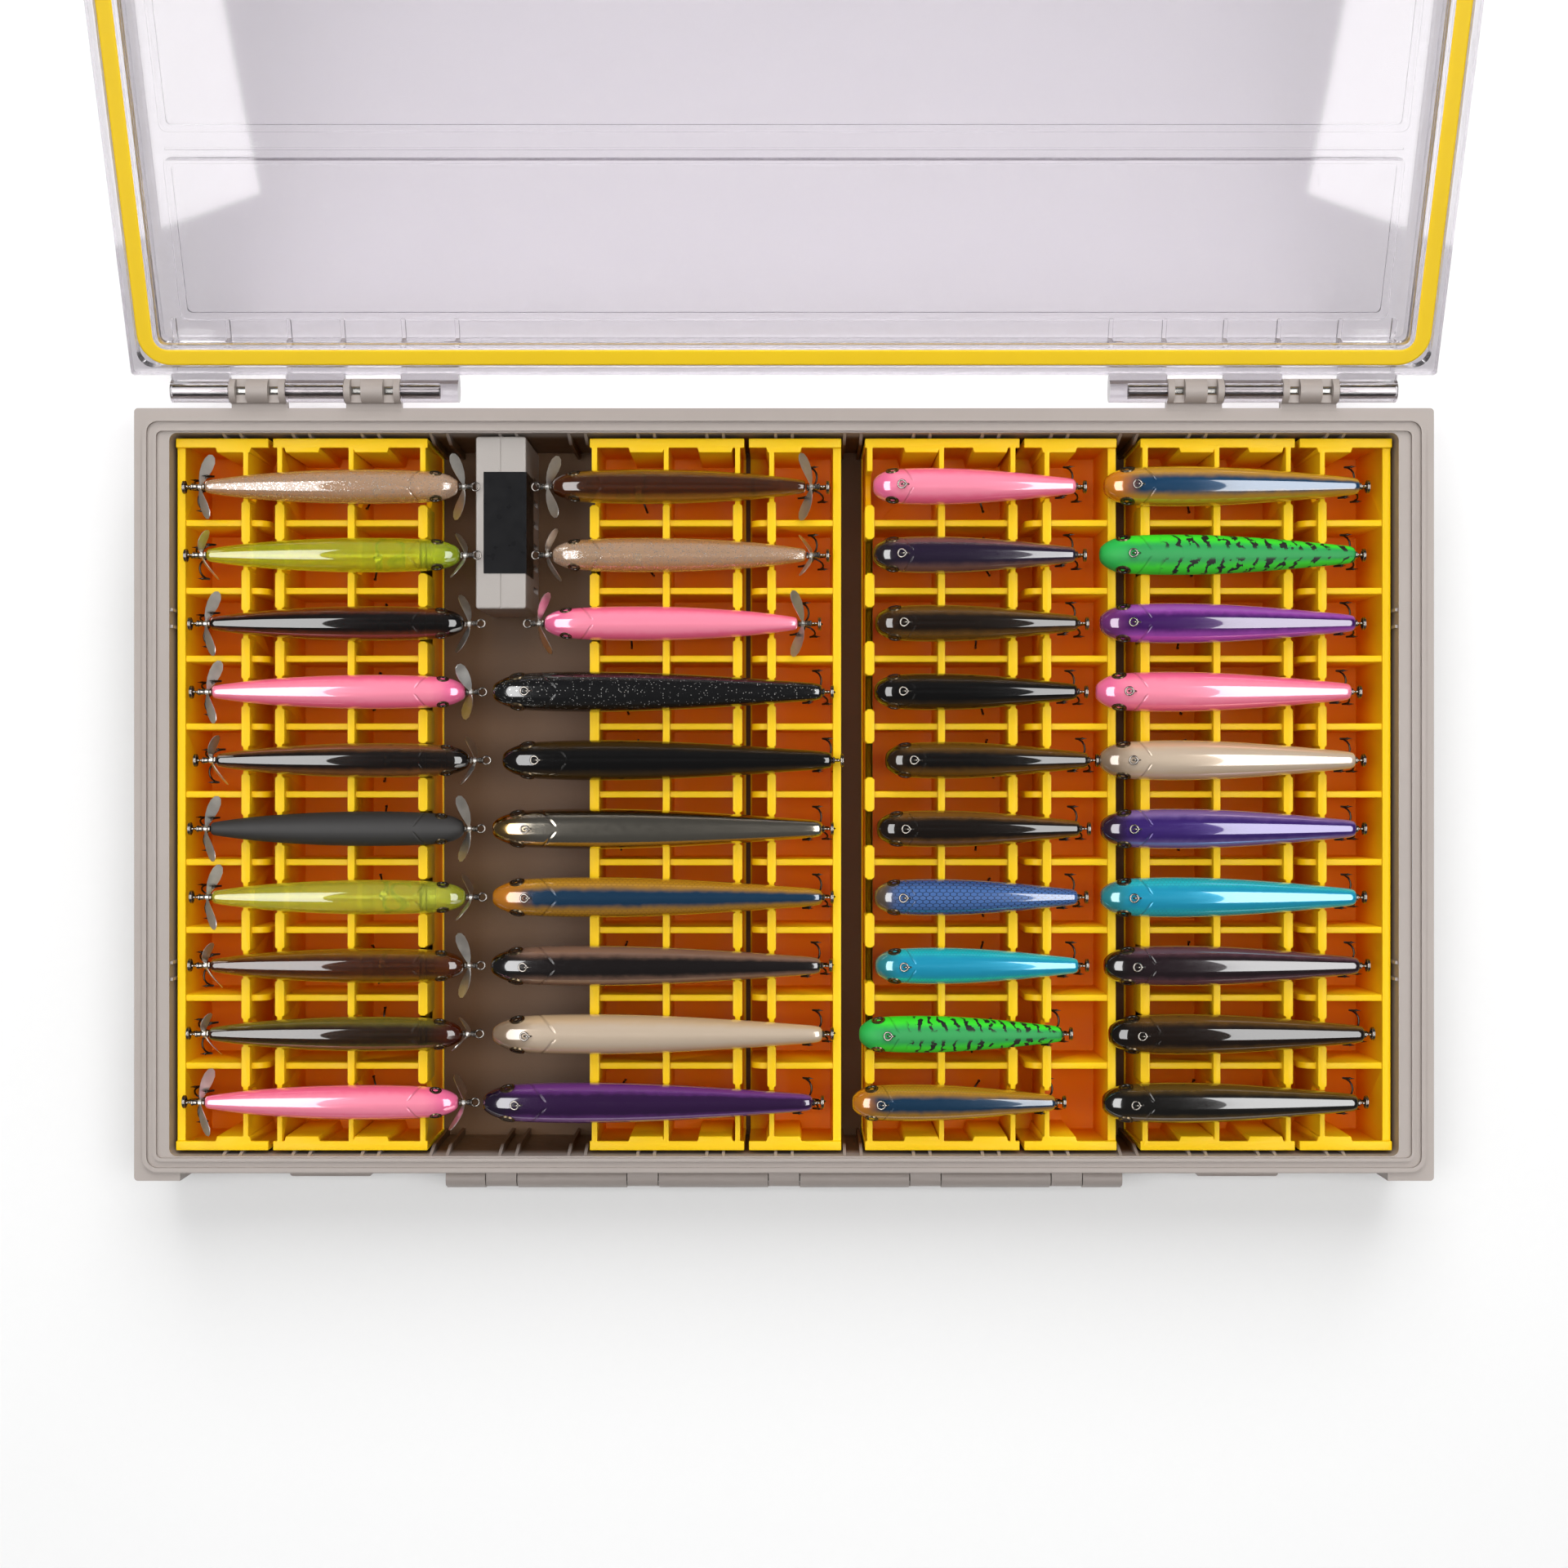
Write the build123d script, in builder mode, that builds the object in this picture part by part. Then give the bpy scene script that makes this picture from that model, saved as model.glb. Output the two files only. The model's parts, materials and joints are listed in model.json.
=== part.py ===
from build123d import *
import os

os.makedirs("parts", exist_ok=True)

# Fishing tackle box: a flat hinged case whose tray holds eight comb racks of slim topwater lures.
# Millimetres, +Z up, +Y towards the hinge, origin at the centre of the tray's underside.
# The parts stand as in use: lid open, latch hanging, racks and lures seated.

# ---------------------------------------------------------------- driving dimensions
# case
case_length = 508.0
case_width = 302.0
rim_z = 52.0
flange_thickness = 6.0
corner_radius = 1.5
body_length = 487.0
body_width = 288.0
body_corner = 6.0
floor_thickness = 2.4
cavity_length = 480.0
cavity_width = 282.4
cavity_corner = 3.0
wall_draft = 1.0
latch_recess_half = 236.0
latch_recess_depth = 3.0
corner_block_z = 12.0
corner_blocks = ((10.0, 15.0, -143.5), (18.0, 7.6, -147.2))
body_base_fillet = 2.5
foot_pad_x = 183.0
foot_pad_size = (33.0, 13.0)
foot_pad_y = -148.0
foot_pad_z = 5.0
foot_pad_height = 16.0

# sealing beads round the tray's rim
rim_step = 3.75
rim_step_depth = 1.0
bead_height = 1.4
beads = ((3.75, 5.4, 6.0), (7.9, 9.2, 3.5))

# divider ribs on the tray walls
rib_pitch = 27.0
rib_pairs = 8
rib_half_gap = 3.25
rib_thickness = 1.2
rib_reach = 3.0
rib_top = 51.0
rib_shoulder = 40.0
side_rib_y = 69.0
side_rib_reach = 2.4
rib_root = 0.4

# lid, given closed
lid_open_angle = 154.0
lid_bottom = 52.3
lid_flange = 7.0
lid_top = 66.3
lid_skin = 2.2
lid_panel_drop = 1.2
dome_offset = 10.0
lid_wall = 2.0
panel_border = 19.0
panel_lengths = (62.0, 128.0, 62.0)
band_width = 9.5
groove_outer = 3.1
groove_inner = 10.0
groove_depth = 5.0
roof_fillet = 1.2
band_line_gap = 1.9
band_line_width = 0.9
band_line_depth = 0.5
gusset = 1.6

# hinge
hinge_y = 157.4
hinge_z = 52.15
pin_radius = 2.0
pin_clearance = 0.05
pin_inner = 134.0
pin_outer = 238.5
lid_knuckles = (138.0, 182.7, 227.4)
lid_knuckle_width = 22.5
lid_knuckle_radius = 4.4
tray_knuckles = (160.3, 205.0)
tray_knuckle_width = 21.7
tray_knuckle_radius = 4.8
window_width = 4.2
window_inset = 2.4
window_floor = 1.2
knuckle_web = 3.5

# front latch, given closed
latch_half = 134.0
latch_pivot_y = -152.4
latch_pivot_z = 36.0
latch_pin_radius = 1.5
latch_knuckle_radius = 3.2
latch_plate = (-150.9, -148.4)
latch_top = 62.0
latch_lip_y = -145.6
latch_lip_z = 59.6
lug_width = 12.0
lug_root_y = -142.5
lug_foot = 9.0
lug_side_play = 0.4
ledge_below_top = 5.0
ledge_height = 2.4
ledge_reach = 2.6
ledge_end_gap = 30.0
lug_places = (-112.0, -56.0, 0.0, 56.0, 112.0)

# racks
rack_bottom = 2.5
rack_top = 48.0
rack_half_length = 139.6
rack_floor = 1.6
rack_wall = 2.0
rack_lip = 3.6
rack_lip_height = 2.5
row_pitch = 26.7
rows = 10
partition = 2.5
partition_top = 44.5
wide_width = 60.6
narrow_width = 36.2
bump_reach = 5.5
bump_outer_half = 8.0
bump_inner_half = 6.4
pocket_depth = 4.2
pocket_half = (6.0, 5.2)
pocket_roof = 46.3
side_wall = 3.2
side_wall_top = 45.8

# comb ribs of the wide racks: distance from the open edge, thickness, notch width, notch bottom,
# then the pads on their posts: thickness, length, lowest z
wide_combs = (
    ((1.85, 2.2, 13.2, 30.0), (3.7, 12.6, 30.0)),
    ((30.0, 2.0, 11.8, 26.0), (2.8, 13.6, 38.0)),
    ((58.0, 2.0, 9.0, 30.0), (3.7, 14.0, 36.0)),
)
# the narrow racks' one comb rib, measured from the edge near the wide rack
narrow_comb = ((8.9, 2.0, 8.0, 32.0), (3.4, 16.0, 36.0))
bump_to_open_edge = 22.2
bump_to_near_edge = 13.75

# lures: height of the body's axis when it lies in the racks' notches
twin_prop_z = 51.9
walker_z = 53.1

# moisture holder
holder_x = (-120.7, -101.0)
holder_y = (72.7, 140.2)
holder_top = 49.5
holder_wall = 1.6
holder_channel = 8.9
holder_channel_depth = 4.6
holder_channel_roof = 2.0
parting_line = (0.5, 0.4)
vent_slots = 6
vent_pitch = 8.8
vent_first = 10.0
vent_size = (16.0, 2.4)
vent_z = 14.0
label_low = 24.0
pad_play = 1.0

# ---------------------------------------------------------------- the closed lid's placing
hinge_axis = Axis((0, hinge_y, hinge_z), (1, 0, 0))
latch_axis = Axis((0, latch_pivot_y, latch_pivot_z), (1, 0, 0))


def outline(offset, radius, mode=Mode.ADD):
    """The case outline moved inwards by offset, with rounded corners."""
    RectangleRounded(case_length - 2 * offset, case_width - 2 * offset, radius, mode=mode)


def front_recess(low, high):
    """Cut the front edge back between the corner blocks, from z low to z high."""
    with BuildSketch(Plane.XY.offset(low)) as recess:
        with Locations((0, -case_width / 2)):
            Rectangle(2 * latch_recess_half, 2 * latch_recess_depth)
    extrude(recess.sketch, amount=high - low, mode=Mode.SUBTRACT)


def write(part, node):
    part.label = node
    export_step(part, f"parts/{node}.step")


# ---------------------------------------------------------------- tray
def wall_rib(side, rib_x):
    """One divider rib on the front (-1) or back (+1) wall, its top sloping in from the rim."""
    face = side * cavity_width / 2
    with BuildSketch(Plane.YZ.offset(rib_x - rib_thickness / 2)) as profile:
        Polygon(
            (face + side * 1.5, rib_top),
            (face, rib_top),
            (face - side * rib_reach, rib_shoulder),
            (face - side * (rib_reach + 0.6), floor_thickness - rib_root),
            (face + side * 1.0, floor_thickness - rib_root),
            align=None,
        )
    extrude(profile.sketch, amount=rib_thickness)


with BuildPart() as tray:
    # outer shell of the body under the flange
    with BuildSketch():
        RectangleRounded(body_length, body_width, body_corner)
    extrude(amount=rim_z - flange_thickness + 1)
    fillet(tray.faces().sort_by(Axis.Z)[0].edges(), body_base_fillet)

    # flange with its lower outer band and two sealing beads
    with BuildSketch(Plane.XY.offset(rim_z - flange_thickness)):
        outline(0, corner_radius)
    extrude(amount=flange_thickness - rim_step_depth)
    with BuildSketch(Plane.XY.offset(rim_z - rim_step_depth)):
        outline(rim_step, 5)
    extrude(amount=rim_step_depth)
    for outer, inner, radius in beads:
        with BuildSketch(Plane.XY.offset(rim_z - rim_step_depth)):
            outline(outer, radius)
            outline(inner, radius - inner + outer, Mode.SUBTRACT)
        extrude(amount=rim_step_depth + bead_height)
    front_recess(rim_z - flange_thickness - 1, rim_z - 0.001)

    # cavity, narrowing slightly towards the floor
    with BuildSketch(Plane.XY.offset(rim_z)):
        RectangleRounded(cavity_length, cavity_width, cavity_corner)
    extrude(amount=-(rim_z - floor_thickness), taper=wall_draft, mode=Mode.SUBTRACT)

    # paired divider ribs on the long walls
    for side in (-1, 1):
        for pair in range(-rib_pairs, rib_pairs + 1):
            for member in (-1, 1):
                wall_rib(side, pair * rib_pitch + member * rib_half_gap)

    # shallow ribs on the end walls
    for side in (-1, 1):
        for pair_y in (-side_rib_y, side_rib_y):
            for member in (-1, 1):
                with BuildSketch(Plane.XY.offset(floor_thickness - rib_root)):
                    with Locations((side * (cavity_length / 2 + 0.2), pair_y + member * rib_half_gap)):
                        Rectangle(side_rib_reach, rib_thickness)
                extrude(amount=rib_top - floor_thickness)

    # corner blocks under the ends of the front flange
    with BuildSketch(Plane.XY.offset(corner_block_z)):
        for side in (-1, 1):
            for block_length, block_width, block_y in corner_blocks:
                with Locations((side * (case_length - block_length) / 2, block_y)):
                    Rectangle(block_length, block_width)
    extrude(amount=rim_z - flange_thickness - corner_block_z + 0.5)

    # two pads low on the front wall
    for side in (-1, 1):
        with BuildSketch(Plane.XY.offset(foot_pad_z)):
            with Locations((side * foot_pad_x, foot_pad_y)):
                Rectangle(foot_pad_size[0], foot_pad_size[1])
        extrude(amount=foot_pad_height)
    pads = tray.edges().filter_by(GeomType.LINE).group_by(Axis.Y)[0]
    fillet(pads, 1.5)

    # lugs that carry the latch pin
    for lug_x in lug_places:
        with BuildSketch(Plane.YZ.offset(lug_x - lug_width / 2)):
            with Locations((latch_pivot_y, latch_pivot_z)):
                Circle(latch_knuckle_radius)
            with BuildLine():
                Polyline(
                    (lug_root_y, latch_pivot_z - lug_foot),
                    (lug_root_y, latch_pivot_z + latch_knuckle_radius),
                    (latch_pivot_y, latch_pivot_z + latch_knuckle_radius),
                    (latch_pivot_y, latch_pivot_z - latch_knuckle_radius),
                    close=True,
                )
            make_face()
        extrude(amount=lug_width)
    with BuildSketch(Plane.YZ.offset(-latch_half)):
        with Locations((latch_pivot_y, latch_pivot_z)):
            Circle(latch_pin_radius + pin_clearance)
    extrude(amount=2 * latch_half, mode=Mode.SUBTRACT)

    # hinge knuckles, each with two windows that show the pin
    for side in (-1, 1):
        for place in tray_knuckles:
            with BuildSketch(Plane.YZ.offset(side * place - tray_knuckle_width / 2)):
                with Locations((hinge_y, hinge_z)):
                    Circle(tray_knuckle_radius)
                with Locations(((hinge_y + case_width / 2 - 1) / 2, rim_z - 2.6)):
                    Rectangle(hinge_y - case_width / 2 + 1, knuckle_web)
            extrude(amount=tray_knuckle_width)
            with BuildSketch(Plane.YZ.offset(side * place - tray_knuckle_width / 2)):
                with Locations((hinge_y, hinge_z)):
                    Circle(pin_radius + pin_clearance)
            extrude(amount=tray_knuckle_width, mode=Mode.SUBTRACT)
            for end in (-1, 1):
                with BuildSketch(Plane.XY.offset(hinge_z + window_floor)):
                    window_x = side * place + end * (tray_knuckle_width / 2 - window_inset - window_width / 2)
                    with Locations((window_x, hinge_y)):
                        Rectangle(window_width, 12)
                extrude(amount=6, mode=Mode.SUBTRACT)

write(tray.part, "tray")


# ---------------------------------------------------------------- lid, built closed and swung open
def panel_places():
    """Centre Y and length of each of the lid's three panels."""
    place = case_width / 2 - panel_border
    for length in panel_lengths:
        yield place - length / 2, length
        place -= length + band_width


with BuildPart() as lid:
    with BuildSketch(Plane.XY.offset(lid_bottom)):
        outline(0, corner_radius)
    extrude(amount=lid_flange)
    with BuildSketch(Plane.XY.offset(lid_bottom + lid_flange)):
        outline(dome_offset, 4)
    extrude(amount=lid_top - lid_bottom - lid_flange)
    fillet(lid.faces().sort_by(Axis.Z)[-1].edges(), roof_fillet)
    front_recess(lid_bottom - 1, lid_bottom + lid_flange + 1)

    # the hollow under the panels, and the deeper valley round them and between them
    with BuildSketch(Plane.XY.offset(lid_bottom)):
        outline(dome_offset + lid_wall, 2.5)
    extrude(amount=lid_top - lid_skin - lid_panel_drop - lid_bottom, mode=Mode.SUBTRACT)
    with BuildSketch(Plane.XY.offset(lid_top - lid_skin - lid_panel_drop)):
        outline(dome_offset + lid_wall, 2.5)
        for panel_y, panel_length in panel_places():
            with Locations((0, panel_y)):
                RectangleRounded(case_length - 2 * panel_border, panel_length, 3, mode=Mode.SUBTRACT)
    extrude(amount=lid_panel_drop, mode=Mode.SUBTRACT)

    # the panels are sunk into the roof by the same step
    with BuildSketch(Plane.XY.offset(lid_top - lid_panel_drop)):
        for panel_y, panel_length in panel_places():
            with Locations((0, panel_y)):
                RectangleRounded(case_length - 2 * panel_border - 5, panel_length - 5, 2)
    extrude(amount=lid_panel_drop, mode=Mode.SUBTRACT)

    # gasket groove
    with BuildSketch(Plane.XY.offset(lid_bottom)):
        outline(groove_outer, 6.2)
        outline(groove_inner, 5.3, Mode.SUBTRACT)
    extrude(amount=groove_depth, mode=Mode.SUBTRACT)

    # twin lines along each band between the panels
    for side in (-1, 1):
        band_y = side * (panel_lengths[1] + band_width) / 2
        for line in (-1, 1):
            with BuildSketch(Plane.XY.offset(lid_top - lid_skin)):
                with Locations((0, band_y + line * band_line_gap)):
                    Rectangle(case_length - 2 * panel_border - 2, band_line_width)
            extrude(amount=band_line_depth, mode=Mode.SUBTRACT)

    # hinge knuckles with their webs and gussets
    for side in (-1, 1):
        for place in lid_knuckles:
            with BuildSketch(Plane.YZ.offset(side * place - lid_knuckle_width / 2)):
                with Locations((hinge_y, hinge_z)):
                    Circle(lid_knuckle_radius)
                with BuildLine():
                    Polyline(
                        (case_width / 2 - 1, lid_bottom),
                        (hinge_y, lid_bottom),
                        (hinge_y, hinge_z + lid_knuckle_radius),
                        (case_width / 2 - 1, hinge_z + lid_knuckle_radius),
                        close=True,
                    )
                make_face()
            extrude(amount=lid_knuckle_width)
            for end in (-1, 1):
                with BuildSketch(Plane.YZ.offset(side * place + end * (lid_knuckle_width - gusset) / 2 - gusset / 2)):
                    with BuildLine():
                        Polyline(
                            (case_width / 2 - dome_offset - 1, lid_bottom + lid_flange - 1),
                            (case_width / 2 - dome_offset - 1, lid_top - 2),
                            (case_width / 2 - dome_offset, lid_top - 2),
                            (case_width / 2, lid_bottom + lid_flange),
                            (case_width / 2, lid_bottom + lid_flange - 1),
                            close=True,
                        )
                    make_face()
                extrude(amount=gusset)
        # the pin's bore is blind in the innermost knuckle
        bore_start = pin_inner if side > 0 else -pin_outer - 1
        with BuildSketch(Plane.YZ.offset(bore_start)):
            with Locations((hinge_y, hinge_z)):
                Circle(pin_radius + pin_clearance)
        extrude(amount=pin_outer + 1 - pin_inner, mode=Mode.SUBTRACT)

    # short ribs across the valley behind the hinge
    for side in (-1, 1):
        for place in lid_knuckles:
            for end in (-1, 1):
                rib_x = side * place + end * (lid_knuckle_width - gusset) / 2
                with BuildSketch(Plane.XY.offset(lid_top - lid_skin - lid_panel_drop - 0.8)):
                    with Locations((rib_x, case_width / 2 - (dome_offset + lid_wall + panel_border) / 2)):
                        Rectangle(gusset, panel_border - dome_offset - lid_wall + 1)
                extrude(amount=lid_panel_drop + 1.2)

lid_open = lid.part.rotate(hinge_axis, -lid_open_angle)
write(lid_open, "lid")


# ---------------------------------------------------------------- gasket
gasket_outer = 3.3
gasket_inner = 9.8
gasket_low = 53.9
gasket_high = 57.3

with BuildPart() as gasket:
    with BuildSketch(Plane.XY.offset(gasket_low)):
        outline(gasket_outer, 12)
        outline(gasket_inner, 5.5, Mode.SUBTRACT)
    extrude(amount=gasket_high - gasket_low)
    exposed = gasket.faces().sort_by(Axis.Z)[0].edges()
    fillet(exposed, 0.9)

write(gasket.part.rotate(hinge_axis, -lid_open_angle), "lid_gasket")


# ---------------------------------------------------------------- hinge pins
for pin_name, pin_start in (("hinge_pin_left", -pin_outer), ("hinge_pin_right", pin_inner)):
    with BuildPart() as hinge_pin:
        with BuildSketch(Plane.YZ.offset(pin_start)):
            with Locations((hinge_y, hinge_z)):
                Circle(pin_radius)
        extrude(amount=pin_outer - pin_inner)
        chamfer(hinge_pin.edges().filter_by(GeomType.CIRCLE), 0.4)
    write(hinge_pin.part, pin_name)


# ---------------------------------------------------------------- latch, built closed and let down
with BuildPart() as latch:
    with BuildSketch(Plane.YZ.offset(-latch_half)):
        with Locations((latch_pivot_y, latch_pivot_z)):
            Circle(latch_knuckle_radius)
        with BuildLine():
            Polyline(
                (latch_plate[0], latch_pivot_z),
                (latch_plate[0], latch_top),
                (latch_lip_y, latch_top),
                (latch_lip_y, latch_lip_z),
                (latch_plate[1], latch_lip_z),
                (latch_plate[1], latch_pivot_z + 1.8),
                (latch_plate[1] - 1.5, latch_pivot_z),
                close=True,
            )
        make_face()
    extrude(amount=2 * latch_half)
    # slots that clear the tray's lugs
    for lug_x in lug_places:
        with BuildSketch(Plane.XZ.offset(-latch_pivot_y - 5)):
            with Locations((lug_x, latch_pivot_z)):
                Rectangle(lug_width + 2 * lug_side_play, 2 * latch_knuckle_radius + 4 * lug_side_play)
        extrude(amount=10, mode=Mode.SUBTRACT)
    with BuildSketch(Plane.YZ.offset(-latch_half)):
        with Locations((latch_pivot_y, latch_pivot_z)):
            Circle(latch_pin_radius + pin_clearance)
    extrude(amount=2 * latch_half, mode=Mode.SUBTRACT)
    # finger ledge along the outer face
    with BuildSketch(Plane.XY.offset(latch_top - ledge_below_top)):
        with Locations((0, latch_plate[0] - 1.0)):
            RectangleRounded(2 * (latch_half - ledge_end_gap), ledge_reach, 1.0)
    extrude(amount=ledge_height)

write(latch.part.rotate(latch_axis, 180), "latch")

with BuildPart() as latch_pin:
    with BuildSketch(Plane.YZ.offset(-latch_half)):
        with Locations((latch_pivot_y, latch_pivot_z)):
            Circle(latch_pin_radius)
    extrude(amount=2 * latch_half)

write(latch_pin.part, "latch_pin")


# ---------------------------------------------------------------- racks
row_places = [(row_pitch * (rows / 2 - 0.5 - row)) for row in range(rows)]
partition_places = [row_pitch * (rows / 2 - 1 - line) for line in range(rows - 1)]


def rack_shell(low_x, high_x, bumps):
    """Floor, end walls with their top lips, and the pockets that straddle the tray's ribs."""
    width = high_x - low_x
    middle = (low_x + high_x) / 2
    with BuildSketch(Plane.XY.offset(rack_bottom)) as floor:
        with Locations((middle, 0)):
            Rectangle(width, 2 * rack_half_length)
    extrude(floor.sketch, amount=rack_floor)
    with BuildSketch(Plane.XY.offset(rack_bottom)) as end_walls:
        with GridLocations(0, 2 * rack_half_length - rack_wall, 1, 2):
            with Locations((middle, 0)):
                Rectangle(width, rack_wall)
    extrude(end_walls.sketch, amount=rack_top - rack_bottom)
    with BuildSketch(Plane.XY.offset(rack_top - rack_lip_height)) as lips:
        with GridLocations(0, 2 * rack_half_length - rack_lip, 1, 2):
            with Locations((middle, 0)):
                Rectangle(width, rack_lip)
    extrude(lips.sketch, amount=rack_lip_height)
    for end in (-1, 1):
        for bump_x in bumps:
            face = end * rack_half_length
            bump = trapezoid(bump_x, face, face - end * bump_reach, bump_outer_half, bump_inner_half)
            extrude(bump, amount=rack_top - rack_bottom)


def trapezoid(bump_x, start_y, end_y, start_half, end_half):
    """A four-sided outline about x = bump_x whose parallel sides lie along X."""
    with BuildSketch(Plane.XY.offset(rack_bottom)) as shape:
        Polygon(
            (bump_x - start_half, start_y),
            (bump_x + start_half, start_y),
            (bump_x + end_half, end_y),
            (bump_x - end_half, end_y),
            align=None,
        )
    return shape.sketch


def pocket_hollows(bump_x):
    """Hollow both ends' bumps at bump_x, closed on top and open outwards, to pass the tray's ribs."""
    for end in (-1, 1):
        face = end * rack_half_length
        hollow = trapezoid(bump_x, face + end * 0.5, face - end * pocket_depth, pocket_half[0], pocket_half[1])
        extrude(hollow, amount=pocket_roof - rack_bottom, mode=Mode.SUBTRACT)


def comb_rib(rib_x, thickness, notch_width, notch_bottom):
    """A cross rib the length of the rack, with one round-bottomed notch per row."""
    notch_height = rack_top - notch_bottom + notch_width
    with BuildSketch(Plane.YZ.offset(rib_x - thickness / 2)) as comb:
        with Locations((0, (rack_bottom + rack_top) / 2)):
            Rectangle(2 * rack_half_length - 1, rack_top - rack_bottom)
        with Locations([(row_y, notch_bottom + notch_height / 2) for row_y in row_places]):
            SlotOverall(notch_height, notch_width, rotation=90, mode=Mode.SUBTRACT)
    extrude(comb.sketch, amount=thickness)


def post_pads(rib_x, thickness, length, low):
    """Thicker pads on the posts, one at every partition."""
    with BuildSketch(Plane.XY.offset(low)) as pads:
        with Locations([(rib_x, line_y) for line_y in partition_places]):
            RectangleRounded(thickness, length, 0.8)
    extrude(pads.sketch, amount=rack_top - low)


def partitions(low_x, high_x):
    """The walls between the rows."""
    with BuildSketch(Plane.XY.offset(rack_bottom)) as walls:
        with Locations([((low_x + high_x) / 2, line_y) for line_y in partition_places]):
            Rectangle(high_x - low_x, partition)
    extrude(walls.sketch, amount=partition_top - rack_bottom)


def swept_partitions(free_x, wall_x, way):
    """Row walls of a narrow rack: the free end is swept down in a curve, the other joins the side wall."""
    sweep = 6.0
    for line_y in partition_places:
        with BuildSketch(Plane.XZ.offset(-line_y - partition / 2)) as wall_shape:
            with BuildLine():
                Polyline(
                    (free_x, partition_top - sweep),
                    (free_x, rack_bottom),
                    (wall_x, rack_bottom),
                    (wall_x, partition_top),
                    (free_x + way * sweep, partition_top),
                )
                RadiusArc((free_x + way * sweep, partition_top), (free_x, partition_top - sweep), -way * sweep)
            make_face()
        extrude(wall_shape.sketch, amount=partition)


# first bump of each wide rack, the way the pair runs inwards from its open edge, and its number
rack_plan = ((-162.0, -1, 1), (-54.0, 1, 2), (54.0, 1, 3), (162.0, 1, 4))

for first_bump, way, number in rack_plan:
    open_edge = first_bump - way * bump_to_open_edge
    inner_edge = open_edge + way * wide_width
    wide_bumps = (first_bump, first_bump + way * rib_pitch)
    outer_rib = open_edge + way * wide_combs[0][0][0]
    inner_rib = open_edge + way * wide_combs[-1][0][0]
    with BuildPart() as wide_rack:
        rack_shell(min(open_edge, inner_edge), max(open_edge, inner_edge), wide_bumps)
        for (from_edge, *rib_sizes), pad_sizes in wide_combs:
            comb_rib(open_edge + way * from_edge, *rib_sizes)
            post_pads(open_edge + way * from_edge, *pad_sizes)
        partitions(min(outer_rib, inner_rib), max(outer_rib, inner_rib))
        for bump_x in wide_bumps:
            pocket_hollows(bump_x)
    write(wide_rack.part, f"rack_wide_{number}")

    narrow_bump = first_bump + way * 2 * rib_pitch
    near_edge = narrow_bump - way * bump_to_near_edge
    far_edge = near_edge + way * narrow_width
    cross_rib = near_edge + way * narrow_comb[0][0]
    with BuildPart() as narrow_rack:
        rack_shell(min(near_edge, far_edge), max(near_edge, far_edge), (narrow_bump,))
        # closed wall on the far side
        with BuildSketch(Plane.XY.offset(rack_bottom)):
            with Locations((far_edge - way * side_wall / 2, 0)):
                Rectangle(side_wall, 2 * rack_half_length - 1)
        extrude(amount=side_wall_top - rack_bottom)
        comb_rib(cross_rib, *narrow_comb[0][1:])
        post_pads(cross_rib, *narrow_comb[1])
        swept_partitions(near_edge + way * 0.8, far_edge - way * 1.0, way)
        pocket_hollows(narrow_bump)
    write(narrow_rack.part, f"rack_narrow_{number}")


# ---------------------------------------------------------------- moisture holder
holder_centre = ((holder_x[0] + holder_x[1]) / 2, (holder_y[0] + holder_y[1]) / 2)
holder_size = (holder_x[1] - holder_x[0], holder_y[1] - holder_y[0])
hollow_end = holder_y[1] - holder_channel_depth - holder_wall
hollow_size = (holder_size[0] - 2 * holder_wall, hollow_end - holder_y[0] - holder_wall)
hollow_centre = (holder_centre[0], (hollow_end + holder_y[0] + holder_wall) / 2)

with BuildPart() as holder_case:
    with BuildSketch(Plane.XY.offset(rack_bottom)):
        with Locations(holder_centre):
            RectangleRounded(holder_size[0], holder_size[1], 1.2)
    extrude(amount=holder_top - rack_bottom)
    fillet(holder_case.faces().sort_by(Axis.Z)[-1].edges(), 0.8)
    # channel that straddles a pair of the tray's ribs
    with BuildSketch(Plane.XY.offset(rack_bottom)):
        with Locations((-4 * rib_pitch, holder_y[1] - holder_channel_depth / 2)):
            Rectangle(holder_channel, holder_channel_depth)
    extrude(amount=holder_top - rack_bottom - holder_channel_roof, mode=Mode.SUBTRACT)
    # hollow for the absorbent pad
    with BuildSketch(Plane.XY.offset(rack_bottom + holder_wall)):
        with Locations(hollow_centre):
            Rectangle(hollow_size[0], hollow_size[1])
    extrude(amount=holder_top - rack_bottom - 2 * holder_wall, mode=Mode.SUBTRACT)
    # parting line over the top
    with BuildSketch(Plane.XY.offset(holder_top - parting_line[1])):
        with Locations(holder_centre):
            Rectangle(parting_line[0], holder_size[1])
    extrude(amount=parting_line[1], mode=Mode.SUBTRACT)
    # vent slots in the wall that faces the room between the racks
    for slot in range(vent_slots):
        with BuildSketch(Plane.YZ.offset(holder_x[1] - holder_wall - 0.1)):
            with Locations((holder_y[0] + vent_first + slot * vent_pitch, vent_z)):
                SlotOverall(vent_size[0], vent_size[1], rotation=90)
        extrude(amount=holder_wall + 0.2, mode=Mode.SUBTRACT)

write(holder_case.part, "holder_case")

with BuildPart() as holder_pad:
    with BuildSketch(Plane.XY.offset(rack_bottom + holder_wall)):
        with Locations(hollow_centre):
            Rectangle(hollow_size[0] - pad_play, hollow_size[1] - pad_play)
    extrude(amount=holder_top - rack_bottom - 2 * (holder_wall + pad_play))

write(holder_pad.part, "holder_pad")

# plain label wrapped over the top and down one side
label_y = (86.5, 126.3)
label_x = -117.6
label_thickness = 0.2

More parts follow.
